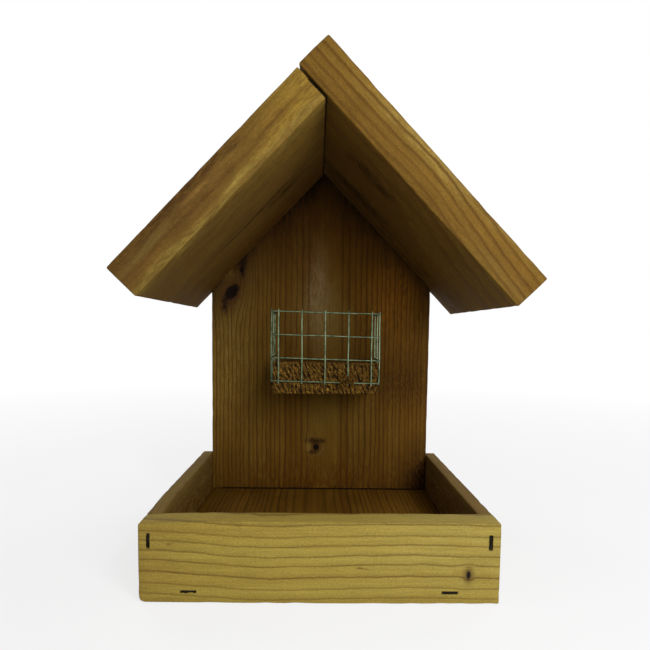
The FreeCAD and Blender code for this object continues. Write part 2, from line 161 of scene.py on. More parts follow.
def scaled(tree, value, factor, offset):
    """value * factor + offset."""
    return sums(tree, "MULTIPLY_ADD", value, factor, offset)


def arrow(tree, operation, *values):
    """The same for places and directions. A product or a length is a plain number."""
    made = node(tree, "VectorMath", dict(enumerate(values)), operation=operation)
    plain = operation in ("DOT_PRODUCT", "LENGTH")
    return made.outputs["Value" if plain else "Vector"]


def parted(tree, place):
    """The x, y and z of a place."""
    return node(tree, "SeparateXYZ", {0: place}).outputs[:]


def joined(tree, x, y, z):
    return node(tree, "CombineXYZ", {0: x, 1: y, 2: z}).outputs[0]


def mixed(tree, share, first, second, kind="MIX"):
    feeds = {0: share, 6: first, 7: second}
    return node(tree, "Mix", feeds, data_type="RGBA", blend_type=kind).outputs[2]


def ramp(tree, value, *stops):
    """Turns a number into another one through pairs of place and grey value."""
    made = node(tree, "ValToRGB", {0: value})
    spots = made.color_ramp.elements
    while len(spots) < len(stops):
        spots.new(1)
    for spot, (place, grey) in zip(spots, stops):
        spot.position = place
        spot.color = (grey, grey, grey, 1)
    return made.outputs[0]


print("sums, places, mixes and ramps are ready")

# %% [markdown]
# ## Studio
#
# The photograph was lit by a wide soft lamp, a little to the right of the camera and above it. It
# fills the tray and leaves the underside of the right roof board dark. A smaller lamp stands high
# on the right. It reaches in under the roof's corner, so it lights only the lower right part of
# the back board, and the tray's right side throws a shadow into the corner. The rest is soft light
# from all round, and two wide lamps behind the object keep its back readable.
#
# The background is pure white. More light would give that too, but it would bleach the wood.
# Instead rays from the camera, and mirror rays, see a white world, while the floor near the object
# keeps a soft shadow and fades to white further out.

# %% World
scene = bpy.context.scene
scene.view_settings.view_transform = "Standard"
AMBIENT = 0.34
WHITE = (1, 1, 1, 1)
world = bpy.data.worlds.new("studio")
scene.world = world
world.use_nodes = True
world.node_tree.nodes.clear()


def seen_directly(tree):
    """1 for rays that see a background as it is: camera, mirror and see-through rays."""
    rays = node(tree, "LightPath").outputs
    first = sums(tree, "MAXIMUM", rays["Is Camera Ray"], rays["Is Glossy Ray"])
    return sums(tree, "MAXIMUM", first, rays["Is Transmission Ray"])


def background(tree, strength):
    return node(tree, "Background", {"Color": WHITE, "Strength": strength}).outputs[0]


sky = world.node_tree
layers = {0: seen_directly(sky), 1: background(sky, AMBIENT), 2: background(sky, 1.0)}
sky_mix = node(sky, "MixShader", layers)
node(sky, "OutputWorld", {0: sky_mix.outputs[0]})
print("ambient light:", AMBIENT)

# %% [markdown]
# The floor is a plain pale card. A painted shadow would be wrong from any other side, so the real
# one is kept. Close to the object the card is three quarters glow and one quarter lit surface.
# Further out it is all glow, which can't be told from the background.

# %% Floor
FLOOR_REACH = 6.0
FADE_REACH = 1.6
CARD_GREY = (0.8, 0.8, 0.8, 1)
NEAR_WHITE = 0.74
floor_material, tree = fresh_tree("studio_floor")
away = arrow(tree, "LENGTH", node(tree, "TexCoord").outputs["Object"])
fade = ramp(tree, sums(tree, "DIVIDE", away, FADE_REACH), (0.0, 0), (0.12, 0), (0.8, 1))
card = node(tree, "BsdfDiffuse", {"Color": CARD_GREY})
glow = node(tree, "Emission", {"Color": WHITE, "Strength": 1.0})
paleness = scaled(tree, fade, 1 - NEAR_WHITE, NEAR_WHITE)
whiteness = times(tree, seen_directly(tree), paleness)
floor_mix = node(tree, "MixShader", {0: whiteness, 1: card.outputs[0], 2: glow.outputs[0]})
node(tree, "OutputMaterial", {0: floor_mix.outputs[0]})

bpy.ops.object.select_all(action="DESELECT")
bpy.ops.mesh.primitive_circle_add(vertices=96, radius=FLOOR_REACH, fill_type="NGON")
floor = bpy.context.object
floor.name = "studio_floor"
floor.data.materials.append(floor_material)
print("floor radius:", FLOOR_REACH, "m")

# %% [markdown]
# The lamps are discs of light. A sun or a point lamp would draw hard shadows, and the photograph
# has none. Each disc stands where its light comes from, and its size sets how soft its shadow is.

# %% Lamps


def softbox(name, place, aim, size, watts):
    """A round lamp, size metres across, that faces a point and isn't seen itself."""
    data = bpy.data.lights.new(name, "AREA")
    data.shape = "DISK"
    data.size = size
    data.energy = watts
    lamp = bpy.data.objects.new(name, data)
    scene.collection.objects.link(lamp)
    lamp.location = place
    direction = Vector(aim) - Vector(place)
    lamp.rotation_euler = direction.to_track_quat("-Z", "Y").to_euler()
    lamp.visible_camera = False
    print(name, "is", round(direction.length, 2), "m from what it lights")


softbox("lamp_key", (0.26, -0.59, 0.36), (0.0, 0.0, 0.12), 0.38, 2.85)
softbox("lamp_high_right", (0.50, -0.75, 0.80), (0.0, 0.0, 0.10), 0.12, 2.0)
softbox("lamp_rear_left", (-0.8, 0.75, 0.9), (0, 0.05, 0.15), 0.7, 3.0)
softbox("lamp_rear_right", (0.8, 0.75, 0.9), (0, 0.05, 0.15), 0.7, 3.0)

# %% [markdown]
# ## Wood
#
# A board is a slice of a log, so its figure is the same everywhere in the log: rings round a pith.
# Stretched noise could stand in for grain on one face, but its edges and ends would look wrong.
# So the finish copies the log. Each board gets its own pith, a line along the grain, and the rings
# are the distance from that line, so faces, edges and ends of a board agree with one another, as
# they do in real timber. Summer wood is the thin dark line at the end of each ring.
#
# The coordinates are Object coordinates, turned into millimetres in the board's own directions:
# along the grain, across the board and through its thickness.

# %% Board coordinates


def board_coordinates(tree, middle=(0, 0, 0), tilt=0.0, order="xyz"):
    """Along, across and through the board, in millimetres from its middle."""
    feeds = {
        "Vector": node(tree, "TexCoord").outputs["Object"],
        "Location": middle,
        "Rotation": (0, tilt, 0),
        "Scale": (MM, MM, MM),
    }
    mapping = node(tree, "Mapping", feeds, vector_type="TEXTURE")
    apart = parted(tree, mapping.outputs[0])
    return joined(tree, *[apart["xyz".index(letter)] for letter in order])


def cloud(tree, local, size, seed, detail=2.0):
    """Noise between 0 and 1, whose lumps have that size in millimetres along, across, through."""
    moved = arrow(tree, "DIVIDE", local, size)
    moved = arrow(tree, "ADD", moved, (seed * 7.31, seed * 3.77, seed * 5.13))
    feeds = {"Vector": moved, "Scale": 1.0, "Detail": detail, "Roughness": 0.55}
    return node(tree, "TexNoise", feeds, noise_dimensions="3D").outputs[0]


def shaking(tree, place, scale, detail=2.0):
    """Noise as a direction, from about -0.5 to 0.5 each way, that pushes coordinates about."""
    feeds = {"Vector": place, "Scale": scale, "Detail": detail}
    colours = node(tree, "TexNoise", feeds, noise_dimensions="3D").outputs["Color"]
    return arrow(tree, "SUBTRACT", colours, (0.5, 0.5, 0.5))


def pushed(tree, local, push, reach):
    """The place after a push that goes that many millimetres along, across and through."""
    return arrow(tree, "ADD", local, arrow(tree, "MULTIPLY", push, reach))


def near(tree, local, centre, reach):
    """1 at a place in the board, falling off to 0 with that reach along, across and through."""
    away = arrow(tree, "DIVIDE", arrow(tree, "SUBTRACT", local, centre), reach)
    square = arrow(tree, "DOT_PRODUCT", away, away)
    return sums(tree, "EXPONENT", times(tree, square, -1.0))


print("board coordinates are in mm: along, across, through")

# %% [markdown]
# Rings wander, because a tree isn't round. Slow and quick clouds of noise push the pattern across
# the board. A *swell* lifts the lines at one place, as a hidden branch does, and a knot pushes
# them apart on both its sides. Moving the coordinates before the rings are counted bends every
# line, which a mark painted on top couldn't do.

# %% Growth rings
RIGHT_THROUGH = 60.0
RING_DRIFT = 0.37


def pushed_rings(tree, local, waves, swells, knots, seed):
    """Along, across and through, after all that pushes the rings about."""
    along, across, through = parted(tree, local)
    straight = across
    for index, (height, size) in enumerate(waves):
        wave = cloud(tree, local, size, seed + index + 1, detail=1.0)
        across = scaled(tree, sums(tree, "SUBTRACT", wave, 0.5), height, across)
    for centre, reach, height in swells:
        across = scaled(tree, near(tree, local, centre, reach), -height, across)
    for centre, radius, push, _, _ in knots:
        reach = (radius[0] * 2.6, radius[1] * 2.0, RIGHT_THROUGH)
        beside = sums(tree, "SUBTRACT", straight, centre[1])
        spread = times(tree, near(tree, local, centre, reach), beside)
        across = scaled(tree, spread, -push, across)
    return along, across, through


def ring_count(tree, across, through, pith, ring, unevenness):
    """How many rings lie between a point and the pith, and how steeply they meet the face."""
    sideways = sums(tree, "SUBTRACT", across, pith[0])
    inwards = sums(tree, "SUBTRACT", through, pith[1])
    square = scaled(tree, sideways, sideways, times(tree, inwards, inwards))
    distance = sums(tree, "SQRT", square)
    steep = sums(tree, "DIVIDE", sums(tree, "ABSOLUTE", sideways), distance)
    steep = sums(tree, "MULTIPLY_ADD", steep, 1.5, 0.2, clamp=True)
    count = sums(tree, "DIVIDE", distance, ring)
    feeds = {"W": times(tree, count, RING_DRIFT), "Scale": 1.0, "Detail": 1.0}
    uneven = node(tree, "TexNoise", feeds, noise_dimensions="1D")
    return scaled(tree, uneven.outputs[0], unevenness, count), steep


def summer_wood(tree, count, core, fade, uneven):
    """1 in the dark end of each ring and 0 in its pale spring wood, which darkens over fade."""
    line = ramp(
        tree,
        sums(tree, "FRACT", count),
        (0.0, 0.4),
        (0.05, 0.0),
        (1 - core - fade, 0.0),
        (1 - core - 0.4 * fade, 0.16),
        (1 - core, 0.42),
        (1 - 0.7 * core, 0.95),
        (1 - 0.3 * core, 1.0),
        (1.0, 0.7),
    )
    feeds = {"W": sums(tree, "FLOOR", count)}
    dice = node(tree, "TexWhiteNoise", feeds, noise_dimensions="1D")
    strength = scaled(tree, dice.outputs["Value"], uneven, 1.0 - uneven)
    return times(tree, line, strength)


print("a ring is pale for most of its width and ends in a dark line")

# %% [markdown]
# A knot is a branch that was cut through: a black heart, a brown halo, and on some a pale collar.
# It could be a picture, but three ovals of falling strength stay sharp at any size, and noise
# breaks the heart's edge. An upper branch grows steeply, so its oval may lean.

# %% Knots
KNOT_HEART = paint(20, 13, 8)
KNOT_RIM = paint(70, 44, 20)
KNOT_COLLAR = paint(140, 112, 56)


def oval(tree, place, centre, radius, size=1.0):
    """1 in the heart of a knot, falling off over an oval that many times its radius."""
    reach = (radius[0] * size, radius[1] * size, RIGHT_THROUGH)
    return near(tree, place, centre, reach)


def knot_colour(tree, local, colour, knots, seed):
    """Paints knots. Each is a centre, a radius, how far it pushes rings, its collar and lean."""
    height = parted(tree, local)[0]
    for index, (centre, radius, _, pale, lean) in enumerate(knots):
        upwards = sums(tree, "SUBTRACT", height, centre[0])
        sideways = joined(tree, 0.0, times(tree, upwards, -lean), 0.0)
        leaned = arrow(tree, "ADD", local, sideways)
        collar = oval(tree, leaned, centre, radius, 2.6)
        collar = ramp(tree, collar, (0.0, 0), (0.30, 0), (0.50, 1), (0.72, 0))
        colour = mixed(tree, times(tree, collar, pale), colour, KNOT_COLLAR)
        halo = times(tree, oval(tree, leaned, centre, radius, 2.1), 0.95, clamp=True)
        colour = mixed(tree, halo, colour, KNOT_RIM)
        ragged = cloud(tree, local, (2.4, 1.8, 40.0), seed + 20 + index, detail=3.0)
        heart = oval(tree, leaned, centre, radius)
        heart = scaled(tree, sums(tree, "SUBTRACT", ragged, 0.5), 0.6, heart)
        heart = ramp(tree, heart, (0.0, 0), (0.28, 0), (0.56, 1))
        colour = mixed(tree, heart, colour, KNOT_HEART)
    return colour


print("a knot has a heart, a rim and a collar")

# %% [markdown]
# Four kinds of smaller paint complete a board. Under the dark lines lie the *patches*, whose edges
# follow the grain as weathering does, and the *painted shades*, which darken the board towards an
# edge where shade falls. Over the lines lie the *marks*, which are small and stay at their exact
# places, and the *mouths*, where a fastener tore the wood or light doesn't reach into a joint, and
# which are nearly black: from rust and wet, and from painted shade in the recess.

# %% Patches, painted shades, marks and mouths
# Near black: painted shade, and the rust and wet in torn wood.
STAIN_AND_SHADE = paint(20, 12, 4)


def patched_colour(tree, local, colour, patches, painted_shades, seed):
    """Patches and painted shades, on coordinates that noise has warped along the grain.

    A painted shade is a direction, a distance and a reach in millimetres, and a strength.
    """
    push = shaking(tree, arrow(tree, "DIVIDE", local, (34, 11, 11)), 1.0, detail=3.0)
    warped = pushed(tree, local, push, (30, 11, 11))
    feather = cloud(tree, warped, (9, 1.5, 1.5), seed + 7, detail=4.0)
    feather = ramp(tree, feather, (0.0, 0.25), (0.36, 0.25), (0.60, 1.0))
    for centre, reach, strength, patch in patches:
        share = times(tree, near(tree, warped, centre, reach), 1.35 * strength)
        share = times(tree, share, feather, clamp=True)
        colour = mixed(tree, share, colour, patch)
    # A painted shade darkens the board beyond a plane, where shade falls.
    for direction, distance, reach, strength in painted_shades:
        away = sums(tree, "SUBTRACT", arrow(tree, "DOT_PRODUCT", warped, direction), distance)
        away = sums(tree, "DIVIDE", sums(tree, "MINIMUM", away, 0.0), reach)
        share = times(tree, sums(tree, "EXPONENT", away), strength)
        colour = mixed(tree, share, colour, STAIN_AND_SHADE)
    return colour


def marked_colour(tree, local, colour, marks, seed):
    """Small marks at exact places, with edges that the grain breaks up."""
    for index, (centre, reach, strength, mark) in enumerate(marks):
        broken = cloud(tree, local, (4.0, 0.9, 40.0), seed + 40 + index, detail=3.0)
        broken = ramp(tree, broken, (0.0, 0.15), (0.34, 0.15), (0.58, 1.0))
        share = near(tree, local, centre, (*reach, RIGHT_THROUGH))
        share = times(tree, times(tree, share, 2.2 * strength), broken, clamp=True)
        colour = mixed(tree, share, colour, mark)
    return colour


def is_round(size):
    """A mouth whose two largest sizes are the same is round."""
    return sorted(size)[1] == sorted(size)[2]


def mouth_colour(tree, local, colour, order, mouths):
    """The wood that a fastener tore is black inside, from rust and wet and from painted shade in
    the recess.
    """
    push = shaking(tree, local, 0.9)
    torn = pushed(tree, local, push, (1.6, 1.6, 1.6))
    crisp = pushed(tree, local, push, (0.8, 0.8, 0.8))
    for centre, size in mouths:
        place = [centre["xyz".index(letter)] for letter in order]
        lengths = [size["xyz".index(letter)] for letter in order]
        if is_round(size):
            reach = [0.54 * length for length in lengths]
            share = ramp(tree, near(tree, torn, place, reach), (0.0, 0), (0.30, 0), (0.42, 1))
        else:
            reach = [0.5 * length + 0.1 for length in lengths]
            offset = arrow(tree, "ABSOLUTE", arrow(tree, "SUBTRACT", crisp, place))
            x, y, z = parted(tree, arrow(tree, "DIVIDE", offset, reach))
            furthest = sums(tree, "MAXIMUM", sums(tree, "MAXIMUM", x, y), z)
            share = ramp(tree, furthest, (0.0, 1), (0.86, 1), (1.0, 0))
        # Rust and wet, with painted shade in the recess.
        colour = mixed(tree, share, colour, STAIN_AND_SHADE)
    return colour


print("patches and stains lie under the dark lines, marks and mouths over them")

# %% [markdown]
# The finish mixes a pale, a deep and a summer-wood colour by those rings, and then adds what a
# plane and the weather leave: fine fibres along the grain, resin ducts, slow mottling and darker
# end grain. Roughness and relief follow the same pattern, because a colour alone looks printed.

# %% Skin
ROUGH_WOOD = 0.70


def surface(tree, colour, rough, relief, strength, depth, shine):
    """The finished skin, with a relief that many millimetres deep. shine names other inputs."""
    bump = node(tree, "Bump", {"Strength": strength, "Distance": depth * MM, "Height": relief})
    feeds = {"Base Color": colour, "Roughness": rough, "Normal": bump.outputs[0], **shine}
    skin = node(tree, "BsdfPrincipled", feeds)
    node(tree, "OutputMaterial", {0: skin.outputs[0]})


def fibre_shade(tree, local, fibre, blotch, seed):
    """How light the wood is, from its fibres, streaks, specks, resin ducts and mottling."""
    value = scaled(tree, fibre, 0.5, 0.75)
    streak = cloud(tree, local, (60, 1.8, 2.4), seed + 9)
    value = times(tree, value, scaled(tree, streak, 0.36, 0.82))
    speckle = cloud(tree, local, (1.5, 0.9, 0.9), seed + 12, detail=3.0)
    value = times(tree, value, scaled(tree, speckle, 0.8, 0.6))
    duct = ramp(tree, cloud(tree, local, (5, 0.4, 0.4), seed + 10), (0.0, 0), (0.66, 0), (0.76, 1))
    value = times(tree, value, scaled(tree, duct, -0.16, 1.0))
    for size, share in (((15, 8, 8), 1.0), ((4.5, 2.5, 2.5), 0.6)):
        mottle = cloud(tree, local, size, seed + 11, detail=3.0)
        mottle = scaled(tree, mottle, 2 * blotch * share, 1.0 - blotch * share)
        value = times(tree, value, mottle)
    return value


def end_grain(tree, tilt, order):
    """1 on the sawn ends of a board, where its fibres are cut across."""
    turn = Matrix.Rotation(tilt, 3, "Y")
    grain = turn @ Vector([1.0 if letter == order[0] else 0.0 for letter in "xyz"])
    facing = node(tree, "TexCoord").outputs["Normal"]
    end = sums(tree, "ABSOLUTE", arrow(tree, "DOT_PRODUCT", facing, grain))
    return ramp(tree, end, (0.0, 0), (0.6, 0), (0.9, 1))


print("a skin has a colour, a roughness and a relief")

# %% [markdown]
# One function wires a whole board, because all the boards are the same kind of wood and differ
# only in their numbers. Each board calls it with its own tones, pith, ring width, knots and marks.

# %% Wood finish


def wood_finish(
    name,
    middle,
    order,
    tones,
    pith,
    ring,
    tilt=0.0,
    core=0.16,
    fade=0.3,
    lines=0.9,
    uneven=0.5,
    waves=((5.0, (110, 60, 60)), (1.2, (26, 14, 14))),
    swells=(),
    knots=(),
    patches=(),
    painted_shades=(),
    marks=(),
    mouths=(),
    bands=0.5,
    blotch=0.12,
    gloss=0.15,
    unevenness=0.9,
    seed=1,
):
    """One board's finish. tones are its spring, deep and summer wood.

    order names the frame's axes along, across and through the board. The pith's place and the
    ring's width are in millimetres, and core and fade are shares of a ring.
    """
    material, tree = fresh_tree(name)
    local = board_coordinates(tree, middle, tilt, order)
    _, across, through = pushed_rings(tree, local, waves, swells, knots, seed)
    count, steep = ring_count(tree, across, through, pith, ring, unevenness)
    late = times(tree, summer_wood(tree, count, core, fade, uneven), steep)
    pale, deep, summer = tones

    band = ramp(tree, cloud(tree, local, (170, 9, 30), seed + 5), (0.0, 0), (0.36, 0), (0.68, 1))
    colour = mixed(tree, times(tree, band, bands), pale, deep)
    tint = ramp(tree, cloud(tree, local, (60, 26, 26), seed + 6), (0.0, 0), (0.42, 0), (0.7, 1))
    colour = mixed(tree, times(tree, tint, bands * 0.7), colour, deep)
    colour = patched_colour(tree, local, colour, patches, painted_shades, seed)
    colour = mixed(tree, times(tree, late, lines), colour, summer)
    colour = knot_colour(tree, local, colour, knots, seed)
    colour = marked_colour(tree, local, colour, marks, seed)
    colour = mouth_colour(tree, local, colour, order, mouths)

    fibre = cloud(tree, local, (26, 0.5, 0.5), seed + 8, detail=3.0)
    value = fibre_shade(tree, local, fibre, blotch, seed)
    value = times(tree, value, scaled(tree, end_grain(tree, tilt, order), -0.22, 1.0))
    shade = node(tree, "CombineColor", {0: value, 1: value, 2: value})
    colour = mixed(tree, 1.0, colour, shade.outputs[0], kind="MULTIPLY")
    rough = scaled(tree, fibre, 0.12, scaled(tree, late, -0.12, ROUGH_WOOD))
    relief = scaled(tree, late, 0.5, times(tree, fibre, 0.5))
    surface(tree, colour, rough, relief, 0.5, 0.25, {"Specular IOR Level": gloss})
    print(name, "has", len(tree.nodes), "nodes")
    return material


# %% [markdown]
# ## Boards
#
# A board starts as a cube primitive of its real size in its own flat frame. Its arrises are
# bevelled, bisect cuts give it even loops, and those let its faces wander by up to a tenth of a
# millimetre and let its arrises be eased unevenly, as sandpaper leaves them. A displacement
# modifier could do that too, but here the points near an arris must move more than the others.
# The mouths that the fasteners leave are cut with a Boolean. Only then is the board turned into
# place.

# %% Selecting and editing


def nothing_selected():
    if bpy.context.object and bpy.context.object.mode != "OBJECT":
        bpy.ops.object.mode_set(mode="OBJECT")
    bpy.ops.object.select_all(action="DESELECT")


def only(piece):
    nothing_selected()
    piece.select_set(True)
    bpy.context.view_layer.objects.active = piece


def edit(piece, kind="FACE"):
    only(piece)
    bpy.ops.object.mode_set(mode="EDIT")
    bpy.ops.mesh.select_mode(type=kind)


def edit_all(piece):
    edit(piece)
    bpy.ops.mesh.select_all(action="SELECT")


def finish_edit():
    bpy.ops.object.mode_set(mode="OBJECT")


def block_of(name, size):
    """A cube primitive of that size in millimetres, round the origin."""
    nothing_selected()
    bpy.ops.mesh.primitive_cube_add(size=1, scale=[s * MM for s in size])
    piece = bpy.context.object
    piece.name = name
    piece.data.name = name
    bpy.ops.object.transform_apply(location=True, rotation=True, scale=True)
    return piece


print("pieces are made one at a time, with nothing else selected")

# %% [markdown]
# Three cuts shape a board: a saw cut along a plane, rounded arrises, and loops at an even pitch.
# Bisect makes the first and the last. It works at exact places and with no window open, which the
# loop cut tool can't do.

# %% Sawing, bevelling and looping
WELD_REACH = 1e-6


def reach_of(piece):
    """The lowest and highest corner of a piece's mesh."""
    low = Vector([min(v.co[i] for v in piece.data.vertices) for i in range(3)])
    high = Vector([max(v.co[i] for v in piece.data.vertices) for i in range(3)])
    return low, high


def trim(piece, place, outward):
    """Saws off what lies beyond a plane."""
    edit_all(piece)
    bpy.ops.mesh.bisect(
        plane_co=place,
        plane_no=outward,
        use_fill=True,
        clear_outer=True,
        threshold=WELD_REACH,
    )
    bpy.ops.mesh.select_all(action="SELECT")
    bpy.ops.mesh.normals_make_consistent(inside=False)
    finish_edit()


def even_loops(piece, pitches):
    """Bisects the piece at even steps in x, y and z, without removing anything."""
    low, high = reach_of(piece)
    edit(piece)
    for axis in range(3):
        steps = max(1, round((high[axis] - low[axis]) / (pitches[axis] * MM)))
        outward = [1.0 if i == axis else 0.0 for i in range(3)]
        for step in range(1, steps):
            place = [0.0, 0.0, 0.0]
            place[axis] = low[axis] + (high[axis] - low[axis]) * step / steps
            bpy.ops.mesh.select_all(action="SELECT")
            bpy.ops.mesh.bisect(plane_co=place, plane_no=outward, threshold=WELD_REACH)
    finish_edit()


def bevel_arrises(piece, width, segments=3, left_sharp=None):
    """Rounds every arris but the one whose middle is at the place left_sharp, in mm."""
    edit(piece, "EDGE")
    bpy.ops.mesh.select_all(action="DESELECT")
    bpy.ops.mesh.edges_select_sharp(sharpness=math.radians(30))
    if left_sharp:
        arrises = bmesh.from_edit_mesh(piece.data)
        for edge in arrises.edges:
            halfway = (edge.verts[0].co + edge.verts[1].co) / (2 * MM)
            if (halfway - Vector(left_sharp)).length < 1.0:
                edge.select = False
        bmesh.update_edit_mesh(piece.data)
    bpy.ops.mesh.bevel(offset=width * MM, segments=segments, profile=0.5, affect="EDGES")
    finish_edit()


print("boards are sawn, bevelled, looped, worn and then placed")

# %% [markdown]
# Real boards aren't flat to a hair, and their arrises are dented. Two clouds of noise give both: a
# slow one over the faces, and a quick one that acts only near an arris. Points are only ever moved
# inwards, so a worn board stays inside its CAD solid.

# %% Wear
ARRIS_REACH = 1.3


def wear(piece, seed, wander=0.10, nibble=0.45):
    """Moves a board's points inwards: slowly over its faces, and more at its arrises."""
    low, high = reach_of(piece)
    middle = (low + high) / 2
    shift = Vector((seed * 3.1, seed * 1.7, seed * 2.3))
    for vertex in piece.data.vertices:
        place = vertex.co.copy()
        depth = [min(place[i] - low[i], high[i] - place[i]) for i in range(3)]
        close = [d < ARRIS_REACH * MM for d in depth]
        slow = noise.noise(place / (45 * MM) + shift)
        quick = noise.noise(place / (9 * MM) - shift)
        amount = wander * (0.5 + 0.5 * slow) * MM
        if sum(close) >= 2:
            amount += nibble * max(0.0, quick) * MM
        for i in range(3):
            if close[i]:
                outward = -1.0 if place[i] < middle[i] else 1.0
                vertex.co[i] -= outward * amount
    piece.data.update()


def weathered(piece, arris, pitch, seed, left_sharp=None):
    """Bevels a board's arrises, loops it at an even pitch and wears it. Lengths are in mm."""
    bevel_arrises(piece, arris, left_sharp=left_sharp)
    even_loops(piece, (pitch, pitch, pitch))
    wear(piece, seed)


print("arrises are worn over", ARRIS_REACH, "mm")

# %% [markdown]
# Each fastener was driven a little too deep and tore a small mouth. A dark spot of paint would
# look flat from the side, so a cutter is taken out of the board: a rounded block with jittered
# points for a staple's crown, and a short cylinder for a nail's or a screw's head. The jitter
# stays small, because a cutter that crosses itself can empty the whole board.

# %% Mouths
JITTER = 0.12
HEAD_SIDES = 20


def ragged_cutter(centre, size, dice):
    """A small rounded block with jittered points, as the shape of a torn mouth."""
    cutter = block_of("cutter", size)
    bevel_arrises(cutter, min(size) * 0.38, segments=2)
    edit_all(cutter)
    bpy.ops.mesh.subdivide(number_cuts=1)
    finish_edit()
    for vertex in cutter.data.vertices:
        for i in range(3):
            vertex.co[i] += dice.uniform(-JITTER, JITTER) * MM
        vertex.co += Vector(centre) * MM
    return cutter


def round_cutter(centre, size, dice):
    """The same for a nail or screw head, whose mouth is round. It points along its least size."""
    nothing_selected()
    depth = min(size)
    upright = size.index(depth) == 2
    bpy.ops.mesh.primitive_cylinder_add(
        vertices=HEAD_SIDES,
        radius=max(size) / 2 * MM,
        depth=depth * MM,
        location=Vector(centre) * MM,
        rotation=(0, 0, 0) if upright else (math.pi / 2, 0, 0),
    )
    cutter = bpy.context.object
    bpy.ops.object.transform_apply(location=True, rotation=True, scale=True)
    return cutter


def cut_mouths(piece, mouths, seed):
    """Cuts a recess for each fastener. A mouth is a centre and a size, in millimetres."""
    dice = random.Random(seed)
    for centre, size in mouths:
        cutter = (round_cutter if is_round(size) else ragged_cutter)(centre, size, dice)
        only(piece)
        bpy.ops.object.modifier_add(type="BOOLEAN")
        modifier = piece.modifiers[-1]
        modifier.operation = "DIFFERENCE"
        modifier.object = cutter
        modifier.solver = "EXACT"
        bpy.ops.object.modifier_apply(modifier=modifier.name)
        bpy.data.objects.remove(cutter)
    print(piece.name, "has", len(mouths), "mouths")


print("a mouth's points are jittered by up to", JITTER, "mm")

# %% [markdown]
# A finished board is moved by its mesh, and its object stays at the origin as the CAD nodes do. If
# the object were moved instead, its pattern would slide when the model is exported. Dressing gives
# the piece its finish, hides the CAD nodes that it stands for, and ties it to the frame.

# %% Placing and dressing


def put_in_place(piece, middle, tilt=0.0):
    """Turns and moves the mesh itself, so that the object stays at the origin."""
    piece.data.transform(Matrix.Translation(middle) @ Matrix.Rotation(tilt, 4, "Y"))


def dress(piece, material, slot_name, *nodes, smooth=28):
    """Gives a piece its finish and its place in the frame."""
    only(piece)
    bpy.ops.object.shade_smooth_by_angle(angle=math.radians(smooth))
    piece.data.materials.clear()
    piece.data.materials.append(material)
    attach(piece, "root")
    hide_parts(*nodes)
    print(piece.name, "has", len(piece.data.polygons), "faces")


def middle_of(name):
    low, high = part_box(name)
    return (low + high) / 2


def size_of(name):
    low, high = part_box(name)
    return [c / MM for c in high - low]


print("the back board's size in mm:", [round(s, 1) for s in size_of("back_board")])

# %% [markdown]
# ### Tray front
#
# The front board is the palest one. Its growth lines run almost level, about 6 mm apart, sink
# towards the left third and rise again, and part round a small knot near the right end. Four
# staples were driven a little too deep, two upright ones into the side boards and two level ones
# into the floor, and each left a torn mouth. Their places are given once, because the finish
# blackens the same mouths that the cutter takes out.

# %% Tray front finish
FRONT_TONES = (paint(156, 137, 61), paint(142, 116, 46), paint(104, 80, 30))
FRONT_FACE = -9.0
front_middle = middle_of("tray_front_board")
front_mouths = [
    ((-103.9, FRONT_FACE, 13.3), (2.2, 2.4, 9.7)),
    ((103.7, FRONT_FACE, 13.3), (2.5, 2.4, 9.8)),
    ((-79.9, FRONT_FACE, -18.2), (10.2, 2.4, 1.6)),
    ((79.5, FRONT_FACE, -18.1), (10.4, 2.4, 1.8)),
]
front_finish = wood_finish(
    "tray_front_wood",
    front_middle,
    "xzy",
    FRONT_TONES,
    pith=(215, 60),
    ring=6.2,
    core=0.15,
    fade=0.34,
    lines=0.9,
    uneven=0.4,
    waves=((1.4, (90, 40, 60)), (1.5, (20, 14, 16)), (0.9, (7, 7, 9))),
    swells=(
        ((-112, 0, 0), (42, 60, 60), 3.4),
        ((-34, 0, 0), (26, 60, 60), -1.2),
        ((56, 0, 0), (34, 60, 60), 1.0),
    ),
    knots=(((90.6, -6.8, -9), (1.3, 2.4), 0.9, 0.1, 0.0),),
    patches=(
        ((-112, 0, 0), (26, 60, 60), 0.35, paint(134, 104, 44)),
        ((-20, 25, 10), (90, 6, 30), 0.35, paint(132, 108, 44)),
        ((80, 8, 0), (60, 30, 60), 0.4, paint(156, 142, 76)),
        ((26.5, -2.4, -9), (2.2, 0.9, 5), 0.9, paint(92, 62, 24)),
        ((-86.8, 11.6, -9), (2.6, 1.0, 5), 0.6, paint(110, 78, 30)),
        ((-46.7, 21.2, -9), (0.8, 2.2, 5), 0.6, paint(112, 80, 30)),
    ),
    mouths=front_mouths,
    bands=0.45,
    blotch=0.10,
    unevenness=0.35,
    seed=3,
)

# %% [markdown]
# The real board isn't a perfect cuboid. Its lower left corner was knocked round, so that edge
# alone gets a wider bevel. The left end of its top was planed away by two millimetres, and its
# lower edge rises a little towards both ends. Those two are slow curves, so the looped points are
# moved by a formula after the board is worn.

